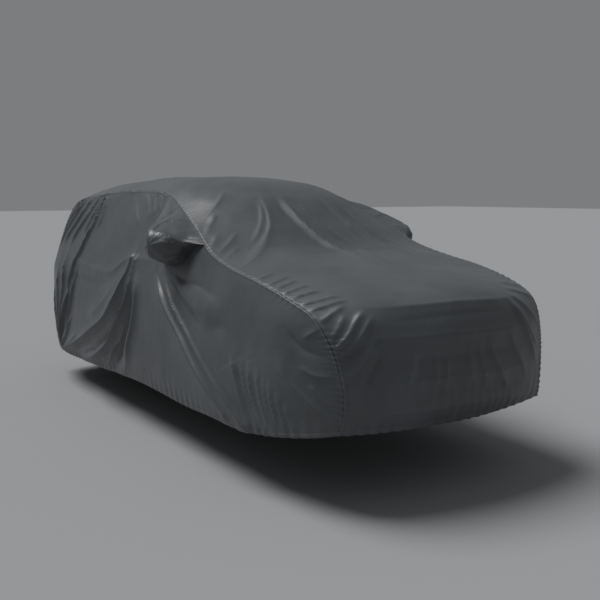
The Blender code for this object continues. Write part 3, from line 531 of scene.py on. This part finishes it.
def add_mesh(name, points, faces, uv=None, marks=None):
    """A smooth mesh object. uv is in metres; marks are named numbers for each point, for the cloth's finish."""
    mesh = bpy.data.meshes.new(name)
    points = np.asarray(points, float) - np.array([0.0, 0.0, ROOF_REST])
    faces = np.asarray(faces, np.int32)
    mesh.vertices.add(len(points))
    mesh.vertices.foreach_set("co", points.astype(np.float32).ravel())
    mesh.loops.add(faces.size)
    mesh.loops.foreach_set("vertex_index", faces.ravel())
    mesh.polygons.add(len(faces))
    mesh.polygons.foreach_set("loop_start", np.arange(0, faces.size, 3, dtype=np.int32))
    mesh.polygons.foreach_set("use_smooth", np.ones(len(faces), bool))
    mesh.update(calc_edges=True)
    if uv is not None:
        layer = mesh.uv_layers.new(name="UVMap")
        layer.data.foreach_set("uv", np.asarray(uv, np.float32)[faces.ravel()].ravel())
    for mark, values in (marks or {}).items():
        layer = mesh.attributes.new(mark, "FLOAT", "POINT")
        layer.data.foreach_set("value", np.asarray(values, np.float32))
    obj = bpy.data.objects.new(name, mesh)
    bpy.context.scene.collection.objects.link(obj)
    return obj


def grid_normals(grid, flip):
    """Outward unit normal at each point of a grid."""
    normal = np.cross(np.gradient(grid, axis=0), np.gradient(grid, axis=1))
    return unit(-normal if flip else normal)


def cells(a, b, c, d, flip):
    one = np.stack([a, b, c], -1).reshape(-1, 3)
    two = np.stack([a, c, d], -1).reshape(-1, 3)
    both = np.concatenate([one, two])
    return both[:, ::-1] if flip else both


def grid_cells(index, flip):
    return cells(index[:-1, :-1], index[1:, :-1], index[1:, 1:], index[:-1, 1:], flip)


def grid_edge(index):
    """The grid's edge points, once round."""
    return np.concatenate([index[:, 0], index[-1, 1:], index[-2::-1, -1], index[0, -2:0:-1]])


def add_sheet(name, outer, normals, flip, uv, marks):
    rows, columns = outer.shape[:2]
    count = rows * columns
    index = np.arange(count).reshape(rows, columns)
    inner = outer - CLOTH * normals
    edge = grid_edge(index)
    following = np.roll(edge, -1)
    faces = np.concatenate([
        grid_cells(index, flip),
        grid_cells(index + count, not flip),
        cells(following, edge, edge + count, following + count, flip),
    ])
    points = np.concatenate([outer.reshape(-1, 3), inner.reshape(-1, 3)])
    uv = np.concatenate([uv.reshape(-1, 2)] * 2)
    marks = {mark: np.concatenate([values.ravel()] * 2) for mark, values in marks.items()}
    obj = add_mesh(name, points, faces, uv, marks)
    obj.data.set_sharp_from_angle(angle=math.radians(62))
    return obj


def nearest_on(line, at):
    """For each point, its distance to the line and the number of the line's nearest point."""
    flat = at.reshape(-1, at.shape[-1])
    away = np.empty(len(flat))
    number = np.empty(len(flat), int)
    for first in range(0, len(flat), 4000):
        part = flat[first : first + 4000]
        gaps = ((part[:, None, :] - line[None]) ** 2).sum(-1)
        number[first : first + 4000] = gaps.argmin(1)
        away[first : first + 4000] = np.sqrt(gaps.min(1))
    return away.reshape(at.shape[:-1]), number.reshape(at.shape[:-1])


def spaced(ranges):
    """Stations from a table of ranges: up to, spacing."""
    out = [0.0]
    for last, spacing in ranges:
        steps = max(1, round((last - out[-1]) / spacing))
        out += list(np.linspace(out[-1], last, steps + 1)[1:])
    return np.array(out)


def build_panels():
    fine = 1.0
    rows_b = spaced([
        (S_FRONT * LENGTH, 0.0085 * fine),
        (2.75, 0.0095 * fine),
        (S_REAR * LENGTH, 0.034 * fine),
        (LENGTH, 0.030 * fine),
    ])
    s = rows_b / LENGTH
    inside = np.linspace(-0.985, 0.985, int(110 / fine))
    t = np.concatenate([[-1, -0.9955], inside, [0.9955, 1]])
    strip_s, strip_t = np.meshgrid(s, t, indexing="ij")
    base = strip_point(strip_s, strip_t)
    base_normals = grid_normals(base, True)
    width = half_width(seam_y(s), seam_z(s))[:, None]
    flat = np.stack([strip_t * width, strip_s * LENGTH], -1)
    away = (1 - np.abs(strip_t)) * width * 1.05
    along = strip_s * LENGTH
    hem_up = np.minimum(along, LENGTH - along)
    rise = creases(STRIP_CREASES, flat)
    rise = rise + rumple(flat, 5, 0.42, 0.0022) * ease(away / 0.15)
    rise = rise + rumple(flat, 9, 0.13, 0.0005) * ease(away / 0.06)
    low_front = np.exp(-((hem_up / 0.22) ** 2)) * ease(away / 0.10)
    rise = rise + 0.0030 * low_front * uneven_wave(strip_t * width + 0.2 * hem_up, 0.071, 77)
    rise = rise * ease(away / 0.035)
    rise = rise + np.where(
        strip_t < 0,
        puckers(along, away, False, -1),
        puckers(along, away, False, 1),
    )
    rise = rise + hem_gathers(strip_t * width, hem_up, 60) * ease(away / 0.04)
    rise = rise + seam_lip(away)

    sides = {}
    seam_line_s = np.linspace(0, 1, 900)
    side_v_lines = spaced([(0.03, 0.0042 * fine), (0.97, 0.0087 * fine), (1.0, 0.0056 * fine)])
    for hand in (-1, 1):
        u = spaced([(1.0, 0.00262 * fine)])
        side_u, side_v = np.meshgrid(u, side_v_lines, indexing="ij")
        side = side_point(side_u, side_v, hand)
        side_normals = grid_normals(side, hand > 0)
        line = strip_point(seam_line_s, np.full(900, float(hand)))
        side_away, number = nearest_on(line, side)
        edge = np.zeros(side.shape[:2], bool)
        edge[0] = edge[-1] = edge[:, 0] = True
        side_away = np.where(edge, 0, side_away)
        side_along = seam_line_s[number] * LENGTH
        side_along[0] = S_FRONT * LENGTH * (1 - side_v[0])
        side_along[-1] = (S_REAR + (1 - S_REAR) * side_v[-1]) * LENGTH
        side_along[:, 0] = (S_FRONT + (S_REAR - S_FRONT) * side_u[:, 0]) * LENGTH
        hem_line = side_point(np.linspace(0, 1, 700), np.ones(700), hand)
        hem_away, hem_number = nearest_on(hem_line, side)
        hem_away[:, -1] = 0
        at = side[..., 1:]
        side_rise = creases(SIDE_CREASES, at) * (1.0 if hand < 0 else 0.9)
        side_rise = side_rise + rumple(at, 21 + (hand > 0), 0.46, 0.0026)
        side_rise = side_rise + rumple(at, 31 + (hand > 0), 0.14, 0.0005)
        side_rise = side_rise * ease(side_away / 0.05)
        side_rise = side_rise + puckers(side_along, side_away, True, hand)
        side_rise = side_rise + hem_gathers(at[..., 0], hem_away, 80 + (hand > 0) * 5) * ease(side_away / 0.04)
        side_rise = side_rise + seam_lip(side_away)
        sides[hand] = [side, side_normals, side_rise, side_away, side_along, hem_away, side_u, side_v]

    # One direction through the cloth along each seam, shared by the strip and the side
    strip_normals = base_normals.copy()
    for hand, column_at in ((-1, 0), (1, -1)):
        side, normals = sides[hand][:2]
        v = sides[hand][7][0]
        u = sides[hand][6][:, 0]
        order_b = np.concatenate([
            (S_FRONT * (1 - v))[::-1],
            (S_FRONT + (S_REAR - S_FRONT) * u)[1:-1],
            S_REAR + (1 - S_REAR) * v,
        ])
        order_n = np.concatenate([normals[0][::-1], normals[1:-1, 0], normals[-1]])
        at_strip = np.stack([np.interp(s, order_b, order_n[:, k]) for k in range(3)], 1)
        shared = unit(unit(at_strip) + base_normals[:, column_at])
        strip_normals[:, column_at] = shared
        for edge, where in (
            ((0, slice(None)), S_FRONT * (1 - v)),
            ((-1, slice(None)), S_REAR + (1 - S_REAR) * v),
            ((slice(None), 0), S_FRONT + (S_REAR - S_FRONT) * u),
        ):
            normals[edge] = unit(np.stack([np.interp(where, s, shared[:, k]) for k in range(3)], 1))
    strip = base + rise[..., None] * strip_normals
    made = {}
    new_normals = grid_normals(strip, True)
    for column_at in (0, -1):
        new_normals[:, column_at] = strip_normals[:, column_at]
    marks = {"seam_gap": away, "seam_way": along, "hem_gap": hem_up}
    made["top_panel"] = add_sheet("cover_top", strip, new_normals, True, flat, marks)
    for hand, word in ((-1, "right"), (1, "left")):
        side, normals, side_rise, side_away, side_along, hem_away, side_u, side_v = sides[hand]
        side = side + side_rise[..., None] * normals
        new_normals = grid_normals(side, hand > 0)
        for edge in ((0, slice(None)), (-1, slice(None)), (slice(None), 0)):
            new_normals[edge] = normals[edge]
        marks = {"seam_gap": side_away, "seam_way": side_along, "hem_gap": hem_away}
        made["side_panel_" + word] = add_sheet(
            "cover_side_" + word, side, new_normals, hand > 0, sides[hand][0][..., 1:], marks
        )
        sides[hand] = (side[:, 0], new_normals[:, 0])
    return made, strip, strip_normals, sides


# ---------- mirror pockets ----------

# Folds of a pocket, through points given as row of POCKET and share of the way from the door (0) to the tip (1).
# name, rise mm, half width at start mm, at end mm, strength at start, at end, points
POCKET_CREASES = [
    ("tent_ridge", 6, 9, 8, 0.6, 0.8, [(0.0, 0.03), (0.0, 0.30), (0.0, 0.60), (0.0, 0.84)]),
    ("second_ridge", 8, 10, 9, 0.1, 0.8, [(2.3, 0.06), (1.9, 0.30), (1.3, 0.55), (0.6, 0.80)]),
    ("under_ridge", -6, 14, 12, 0.1, 0.3, [(1.2, 0.10), (1.0, 0.35), (0.7, 0.60)]),
    ("brow", 7, 10, 12, 0.3, 0.6, [(5.0, 0.15), (4.4, 0.45), (3.6, 0.62), (2.4, 0.76), (1.2, 0.84)]),
    ("brow_valley", -7, 9, 14, 0.4, 0.2, [(5.2, 0.18), (4.8, 0.50), (4.2, 0.66), (3.4, 0.80)]),
    ("cheek", 7, 9, 12, 0.4, 0.4, [(5.4, 0.20), (5.4, 0.50), (5.2, 0.70), (4.6, 0.84)]),
    ("cheek_valley", -8, 9, 12, 0.4, 0.3, [(5.7, 0.22), (5.9, 0.50), (6.0, 0.70), (5.6, 0.86)]),
    ("chin", 7, 8, 12, 0.3, 0.4, [(5.8, 0.18), (6.4, 0.45), (6.8, 0.64), (7.4, 0.82)]),
    ("chin_valley", -6, 8, 12, 0.3, 0.3, [(6.1, 0.16), (6.8, 0.40), (7.4, 0.60), (8.0, 0.80)]),
    ("lower", 5, 8, 12, 0.3, 0.3, [(6.3, 0.12), (7.2, 0.36), (8.0, 0.56), (8.8, 0.76)]),
    ("flank_1", 4, 10, 12, 0.3, 0.2, [(3.2, 0.06), (3.1, 0.25), (2.9, 0.45)]),
    ("flank_2", -4, 12, 14, 0.2, 0.2, [(3.8, 0.06), (3.7, 0.25), (3.5, 0.45)]),
    ("back_1", 5, 9, 10, 0.6, 0.4, [(11.0, 0.05), (11.0, 0.35), (11.2, 0.70)]),
    ("back_2", 4, 9, 10, 0.6, 0.4, [(10.0, 0.05), (10.1, 0.35), (10.4, 0.70)]),
]


def cyclic(values, at):
    """A closed smooth curve through the rows of values, read at row numbers at."""
    rows = len(values)
    i = np.floor(at).astype(int)
    t = (at - i)[:, None]
    before, start, end, after = (values[(i + k) % rows] for k in (-1, 0, 1, 2))
    bend = 2 * before - 5 * start + 4 * end - after
    twist = 3 * start - before - 3 * end + after
    return 0.5 * (2 * start + (end - before) * t + bend * t * t + twist * t ** 3)


def pocket_ring(share, door, middle, end, tip):
    """One ring of the pocket: straight from the door to halfway out, then rounding over to the tip."""
    if share <= 0.5:
        f = share / 0.5
        return door + (middle - door) * f
    if share <= 0.84:
        f = (share - 0.5) / 0.34
        return middle + (end - middle) * f
    f = (share - 0.84) / 0.16
    ring = end + (tip - end) * f
    swell = 0.006 * math.sin(math.pi * min(f, 1.0))
    ring = ring.copy()
    ring[:, 0] += math.copysign(swell, tip[0])
    return ring


def build_pocket(name, hand, seam, seam_normals):
    table = np.array([row[1:] for row in POCKET], float)
    on_seam = np.interp(-seam[:, 1], -table[:SEAM_ROWS, 0], np.arange(SEAM_ROWS))
    on_seam[0] = 0
    on_seam[-1] = SEAM_ROWS - 1
    on_door = np.linspace(SEAM_ROWS - 1, len(table), 72)[1:-1]
    at = np.concatenate([on_seam, on_door])
    rows = np.arange(len(table) + 1)
    door_yz = np.stack([np.interp(on_door, rows, np.append(table[:, n], table[0, n])) for n in (0, 1)], 1)
    soft_yz = cyclic(table[:, 0:2], on_door)
    ends = np.minimum(on_door - (SEAM_ROWS - 1), len(table) - on_door)
    door_yz = door_yz + (soft_yz - door_yz) * ease((ends - 1.0) / 1.0)[:, None]
    door_x = hand * (half_width(door_yz[:, 0], door_yz[:, 1]) + 0.0005)
    door = np.concatenate([seam, np.concatenate([door_x[:, None], door_yz], 1)])
    turn = np.array([-hand, 1.0, 1.0])
    middle = cyclic(table[:, 2:5], at) * turn
    end = cyclic(table[:, 5:8], at) * turn
    full = LEFT_FULLNESS if hand > 0 else 0.0
    middle[:, 2] += full * np.clip(1 - np.minimum(at, len(table) - at) / 2.5, 0, 1)
    tip = np.array(POCKET_TIP) * turn
    shares = np.linspace(0, 1, 44) ** 0.9
    shares = np.concatenate([[0, 0.006], shares[1:-1]])
    rings = np.array([pocket_ring(f, door, middle, end, tip) for f in shares])
    # Rounds the knuckle between the two straight stretches of each line to the tip.
    for _ in range(10):
        rings[2:-1] = 0.5 * rings[2:-1] + 0.25 * (rings[1:-2] + rings[3:])
    wrapped = np.concatenate([rings[:, -1:], rings, rings[:, :1]], 1)
    normals = unit(np.cross(np.gradient(wrapped, axis=0), np.gradient(wrapped, axis=1))[:, 1:-1])
    if np.sum(normals * (rings - rings.mean(axis=(0, 1)))) < 0:
        normals = -normals
    rise = np.zeros(rings.shape[:2])
    at_grid = np.tile(at, (len(shares), 1))
    for _, height, w0, w1, start, finish, points in POCKET_CREASES:
        way = smooth_path(points, 0.12)
        wrapped_at = np.mod(way[:, 0], len(table))
        path = []
        for row, share in zip(wrapped_at, way[:, 1]):
            j = int(np.argmin(np.minimum(np.abs(at - row), len(table) - np.abs(at - row))))
            i = int(np.argmin(np.abs(shares - share)))
            path.append(rings[i, j])
        path = np.array(path)
        path = path[np.concatenate([[True], np.linalg.norm(np.diff(path, axis=0), axis=1) > 1e-4])]
        rise += crease(height / 1000, rings, path, w0 / 1000, w1 / 1000, 0.0, start, finish)
    inward = ease(np.linalg.norm(rings - rings[0], axis=-1) / 0.03)
    rise = rise * inward
    slow = 0.0018 * np.sin(at_grid * 3.3 + 1.0) * np.sin(np.array(shares)[:, None] * 9.0) * inward
    outer = rings + (rise + slow)[..., None] * normals
    outer[0] = rings[0]
    tip = outer[-1].mean(0) + (tip - outer[-1].mean(0)) * 0.6
    wrapped = np.concatenate([outer[:, -1:], outer, outer[:, :1]], 1)
    normals = unit(np.cross(np.gradient(wrapped, axis=0), np.gradient(wrapped, axis=1))[:, 1:-1])
    if np.sum(normals * (rings - rings.mean(axis=(0, 1)))) < 0:
        normals = -normals
    normals[0] = [hand, 0.0, 0.0]
    normals[0, : len(seam)] = seam_normals
    inner = outer - CLOTH * normals
    inner_tip = tip - CLOTH * np.array([hand, 0.0, 0.0])
    ring_count, around = outer.shape[:2]
    count = ring_count * around + 1
    index = np.arange(ring_count * around).reshape(ring_count, around)
    index = np.concatenate([index, index[:, :1]], 1)
    faces = []
    for shift, flip in ((0, hand > 0), (count, hand < 0)):
        faces.append(grid_cells(index + shift, flip))
        last = index[-1] + shift
        fan = np.stack([last[:-1], np.full(around, shift + count - 1), last[1:]], -1)
        faces.append(fan[:, ::-1] if flip else fan)
    first = index[0]
    faces.append(cells(first[1:], first[:-1], first[:-1] + count, first[1:] + count, hand < 0))
    points = np.concatenate([outer.reshape(-1, 3), tip[None], inner.reshape(-1, 3), inner_tip[None]])
    lengths = np.linalg.norm(np.diff(rings[0], axis=0, append=rings[0][:1]), axis=1)
    round_way = np.concatenate([[0], np.cumsum(lengths)[:-1]])
    out_way = np.linalg.norm(outer - outer[0], axis=-1)
    uv = np.stack([np.tile(round_way, (ring_count, 1)), out_way], -1).reshape(-1, 2)
    uv = np.concatenate([uv, [[0, out_way.max()]]] * 2)
    gap = np.append(out_way.ravel(), out_way.max())
    way = np.append(np.tile(round_way, ring_count), 0)
    far = np.full(len(gap), 1.0)
    marks = {mark: np.concatenate([values] * 2) for mark, values in (("seam_gap", gap), ("seam_way", way), ("hem_gap", far))}
    obj = add_mesh(name, points, np.concatenate(faces), uv, marks)
    obj.data.set_sharp_from_angle(angle=math.radians(62))
    return obj, rings[0]


def past(inside, end, further, aside, centre):
    """A point further along from inside through end, moved aside away from centre."""
    way = unit(end - inside)
    across = np.array([-way[1], way[0]])
    if across @ (end - centre) < 0:
        across = -across
    return end + further * way + aside * across


def cut_mirror_opening(panel, ring, seam_count, hand):
    """Cuts the side along the pocket's outline, and past the roof seam where the two share it."""
    outline = ring[:, 1:]
    centre = outline.mean(axis=0)
    cut = outline + 1.3 * SEAM_GAP * unit(outline - centre)
    cut[:seam_count] = outline[:seam_count] + 0.03 * unit(np.array([[-0.3, 1.0]]))
    cut[0] = past(outline[-1], outline[0], 0.03, CORNER_GAP, centre)
    cut[seam_count - 1] = past(outline[seam_count], outline[seam_count - 1], 0.03, CORNER_GAP, centre)
    around = len(ring)
    inside = np.concatenate([np.full((around, 1), hand * 0.45), cut], 1)
    outside = np.concatenate([np.full((around, 1), hand * 1.30), cut], 1)
    mesh = bpy.data.meshes.new("mirror_cutter")
    points = np.concatenate([inside, outside]) - np.array([0.0, 0.0, ROOF_REST])
    faces = [tuple(range(around)), tuple(range(around, 2 * around))[::-1]]
    for j in range(around):
        k = (j + 1) % around
        faces.append((k, j, j + around, k + around))
    if hand > 0:
        faces = [face[::-1] for face in faces]
    mesh.from_pydata([tuple(p) for p in points], [], faces)
    mesh.update()
    cutter = bpy.data.objects.new("mirror_cutter", mesh)
    bpy.context.scene.collection.objects.link(cutter)
    cut_out = panel.modifiers.new("mirror_opening", "BOOLEAN")
    cut_out.operation = "DIFFERENCE"
    cut_out.solver = "EXACT"
    cut_out.object = cutter
    bpy.context.view_layer.update()
    graph = bpy.context.evaluated_depsgraph_get()
    done = bpy.data.meshes.new_from_object(panel.evaluated_get(graph), preserve_all_data_layers=True, depsgraph=graph)
    panel.modifiers.clear()
    old = panel.data
    panel.data = done
    bpy.data.meshes.remove(old)
    bpy.data.objects.remove(cutter)
    bpy.data.meshes.remove(mesh)


# ---------- cloth ----------


def cloth(name, colour, seam_ways):
    """Woven polyester. The weave, stitches and wear, with a painted highlight along the seams, are placed by the
    cloth's own flat coordinates in metres.
    """
    material = bpy.data.materials.new(name)
    material.use_nodes = True
    tree = material.node_tree
    nodes = tree.nodes
    shader = nodes["Principled BSDF"]
    shader.inputs["Sheen Weight"].default_value = 0.04
    shader.inputs["Sheen Roughness"].default_value = 0.45
    shader.inputs["Sheen Tint"].default_value = (0.80, 0.86, 0.90, 1.0)
    shader.inputs["Specular IOR Level"].default_value = 0.40
    shader.inputs["IOR"].default_value = 1.48
    shader.inputs["Metallic"].default_value = 0.0

    def link(a, b):
        tree.links.new(a, b)

    def put(socket, value):
        if hasattr(value, "is_linked"):
            link(value, socket)
        else:
            socket.default_value = value

    def maths(kind, a, b=None, c=None, clamp=False):
        node = nodes.new("ShaderNodeMath")
        node.operation = kind
        node.use_clamp = clamp
        for socket, value in zip(node.inputs, (a, b, c)):
            if value is not None:
                put(socket, value)
        return node.outputs[0]

    def noise(vector, scale, detail, roughness=0.5):
        node = nodes.new("ShaderNodeTexNoise")
        node.inputs["Scale"].default_value = scale
        node.inputs["Detail"].default_value = detail
        node.inputs["Roughness"].default_value = roughness
        link(vector, node.inputs["Vector"])
        return node.outputs["Fac"]

    def span(value, low, high, to_low=0.0, to_high=1.0):
        node = nodes.new("ShaderNodeMapRange")
        node.clamp = True
        node.interpolation_type = "SMOOTHSTEP"
        for key, item in (("Value", value), ("From Min", low), ("From Max", high), ("To Min", to_low), ("To Max", to_high)):
            put(node.inputs[key], item)
        return node.outputs["Result"]

    def mix(share, a, b):
        node = nodes.new("ShaderNodeMix")
        node.data_type = "RGBA"
        put(node.inputs["Factor"], share)
        put(node.inputs["A"], a)
        put(node.inputs["B"], b)
        return node.outputs["Result"]

    def number(attribute):
        node = nodes.new("ShaderNodeAttribute")
        node.attribute_name = attribute
        return node.outputs["Fac"]

    def bump(height, strength, distance, before=None):
        node = nodes.new("ShaderNodeBump")
        node.inputs["Strength"].default_value = strength
        node.inputs["Distance"].default_value = distance
        link(height, node.inputs["Height"])
        if before is not None:
            link(before, node.inputs["Normal"])
        return node.outputs["Normal"]

    flat = nodes.new("ShaderNodeTexCoord").outputs["UV"]
    solid = nodes.new("ShaderNodeTexCoord").outputs["Object"]
    split = nodes.new("ShaderNodeSeparateXYZ")
    link(flat, split.inputs[0])
    across = split.outputs["X"]
    up = split.outputs["Y"]

    # Plain weave: warp and weft threads rise over each other in turn.
    turns = 2 * math.pi / THREAD_PITCH
    warp = maths("SINE", maths("MULTIPLY", across, turns))
    weft = maths("SINE", maths("MULTIPLY", up, turns))
    weave = maths("MULTIPLY_ADD", maths("MULTIPLY", warp, weft), 0.5, 0.5)
    slub = noise(flat, 260.0, 3.0, 0.6)

    # Stitches: a row of short threads along the seam and along the hem
    gap = number("seam_gap")
    way = number("seam_way")
    hem = number("hem_gap")

    def row_of_stitches(distance, at, along):
        line = maths("COMPARE", distance, at, STITCH_WIDTH / 2)
        dash = maths("LESS_THAN", maths("FRACT", maths("DIVIDE", along, STITCH_LENGTH)), 0.72)
        return maths("MULTIPLY", line, dash)

    stitches = maths("MAXIMUM", row_of_stitches(gap, 0.006, way), row_of_stitches(gap, 0.011, way))
    stitches = maths("MAXIMUM", stitches, row_of_stitches(hem, HEM_DEPTH, across if seam_ways else way))
    seam_dip = maths("SUBTRACT", 1.0, span(gap, 0.0005, 0.0035))

    # Colour: broad fading, a lighter dusty bloom low down, fine slubs and a pale thread in the stitching
    broad = span(noise(solid, 1.7, 4.0, 0.55), 0.30, 0.70)
    cloudy = span(noise(solid, 9.0, 5.0, 0.6), 0.25, 0.75)
    shade = tuple(0.82 * c for c in colour)
    light = tuple(1.16 * c for c in colour)
    tone = mix(broad, (*shade, 1.0), (*light, 1.0))
    tone = mix(maths("MULTIPLY", cloudy, 0.30), tone, (*[1.22 * c for c in colour], 1.0))
    tone = mix(maths("MULTIPLY", slub, 0.22), tone, (*[0.62 * c for c in colour], 1.0))
    tone = mix(maths("MULTIPLY", maths("SUBTRACT", 1.0, weave), 0.30), tone, (*[0.45 * c for c in colour], 1.0))
    dust = maths("MULTIPLY", maths("SUBTRACT", 1.0, span(hem, 0.02, 0.32)), span(noise(solid, 5.0, 6.0, 0.65), 0.40, 0.75))
    tone = mix(maths("MULTIPLY", dust, 0.05), tone, (0.23, 0.22, 0.20, 1.0))
    # Lighter patches 3 to 16 mm from the seams: partly rubbed wear, partly a painted highlight where the seam rolls
    # over the car's edges catch the light.
    seam_wear_and_highlight = maths("MULTIPLY", maths("SUBTRACT", 1.0, span(gap, 0.003, 0.016)), span(noise(solid, 22.0, 4.0), 0.35, 0.70))
    tone = mix(maths("MULTIPLY", seam_wear_and_highlight, 0.25), tone, (0.19, 0.20, 0.205, 1.0))
    tone = mix(maths("MULTIPLY", stitches, 0.8), tone, (*THREAD_COLOUR, 1.0))
    link(tone, shader.inputs["Base Color"])

    gloss = span(noise(solid, 3.2, 5.0, 0.6), 0.25, 0.75, ROUGHNESS - 0.06, ROUGHNESS + 0.07)
    gloss = maths("ADD", gloss, maths("MULTIPLY", dust, 0.10))
    link(gloss, shader.inputs["Roughness"])

    # Relief: soft crumples, finer ones, the seam's dip and its stitches, then the weave itself
    soft = noise(flat, 7.0, 3.0, 0.45)
    fine = noise(flat, 34.0, 4.0, 0.5)
    shape = bump(soft, 0.35, 0.010)
    shape = bump(fine, 0.22, 0.0022, shape)
    shape = bump(maths("SUBTRACT", 1.0, seam_dip), 0.6, 0.0015, shape)
    shape = bump(stitches, 0.7, 0.0006, shape)
    shape = bump(maths("ADD", weave, maths("MULTIPLY", slub, 0.5)), 0.35, 0.00025, shape)
    link(shape, shader.inputs["Normal"])
    return material


# Painted light and shade: one cloth, given a slightly lighter colour on the top panel for the light on top and a
# slightly darker one on the sides and pockets for their shade.
LIT_TOP_COLOUR = (0.094, 0.103, 0.112)
SHADED_SIDE_COLOUR = (0.090, 0.099, 0.107)
THREAD_COLOUR = (0.21, 0.22, 0.225)
ROUGHNESS = 0.40
THREAD_PITCH = 0.0014
STITCH_LENGTH = 0.0042
STITCH_WIDTH = 0.0011

# Flat size of each piece before sewing: width, length, area of the cut
# name, width, length, area
FLATS = {
    "top_panel": (1.84, 6.72, 10.6),
    "side_panel": (1.42, 4.55, 5.6),
    "mirror_pocket": (0.62, 0.86, 0.39),
}


# ---------- build ----------

panels, strip, strip_normals, sides = build_panels()
made = dict(panels)
for hand, word in ((-1, "right"), (1, "left")):
    edge, edge_normals = sides[hand]
    near = (edge[:, 1] > POCKET[SEAM_ROWS - 1][1] - 0.04) & (edge[:, 1] < POCKET[0][1] + 0.04)
    shared = np.flatnonzero(near)[::-1]
    shared = shared[:: max(1, len(shared) // 70)]
    pocket, outline = build_pocket("cover_pocket_" + word, hand, edge[shared], edge_normals[shared])
    made["mirror_pocket_" + word] = pocket
    cut_mirror_opening(made["side_panel_" + word], outline, len(shared), hand)

# Lit and shaded copies of one cloth: the top is painted lighter, the sides and pockets darker.
top_cloth = cloth("cloth_top", LIT_TOP_COLOUR, True)
side_cloth = cloth("cloth_side", SHADED_SIDE_COLOUR, True)
pocket_cloth = cloth("cloth_pocket", SHADED_SIDE_COLOUR, False)
for node, piece in made.items():
    kind = next(kind for kind in FLATS if node.startswith(kind))
    piece.data.materials.clear()
    piece.data.materials.append({"top_panel": top_cloth, "side_panel": side_cloth, "mirror_pocket": pocket_cloth}[kind])
    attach(piece, "root")
    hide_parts(node)
    width, length, area = FLATS[kind]


# ---------- floor, light and camera ----------

floor_mesh = bpy.data.meshes.new("floor")
half = 80.0
corners = [(-half, -half, -ROOF_REST), (half, -half, -ROOF_REST), (half, half, -ROOF_REST), (-half, half, -ROOF_REST)]
floor_mesh.from_pydata(corners, [], [(0, 1, 2, 3)])
floor = bpy.data.objects.new("floor", floor_mesh)
bpy.context.scene.collection.objects.link(floor)
paint = bpy.data.materials.new("floor")
paint.use_nodes = True
paint.node_tree.nodes["Principled BSDF"].inputs["Base Color"].default_value = (0.33, 0.334, 0.342, 1.0)
paint.node_tree.nodes["Principled BSDF"].inputs["Roughness"].default_value = 0.9
paint.node_tree.nodes["Principled BSDF"].inputs["Specular IOR Level"].default_value = 0.0
floor_mesh.materials.append(paint)

bpy.context.scene.view_settings.view_transform = "Standard"
world = bpy.data.worlds.new("studio")
bpy.context.scene.world = world
world.use_nodes = True
world.node_tree.nodes["Background"].inputs["Color"].default_value = (0.96, 0.98, 1.0, 1.0)
world.node_tree.nodes["Background"].inputs["Strength"].default_value = 0.21

# Soft lights from far away: direction that each comes from, strength, and how wide it looks in degrees
# name, from, strength, width
LIGHTS = [
    ("overhead", (-0.34, 0.42, 1.0), 2.6, 32.0),
]
for name, place, power, width in LIGHTS:
    light = bpy.data.lights.new(name, "SUN")
    light.energy = power
    light.angle = math.radians(width)
    lamp = bpy.data.objects.new(name, light)
    lamp.rotation_euler = (-Vector(place)).to_track_quat("-Z", "Y").to_euler()
    bpy.context.scene.collection.objects.link(lamp)

camera_data = bpy.data.cameras.new("camera")
camera_data.lens = 48.0
camera_data.sensor_width = 36.0
camera = bpy.data.objects.new("camera", camera_data)
camera.location = (-3.13, -5.52, 1.68 - ROOF_REST)
camera.rotation_euler = (math.radians(82.5), 0.0, math.radians(-33.7))
bpy.context.scene.collection.objects.link(camera)
bpy.context.scene.camera = camera
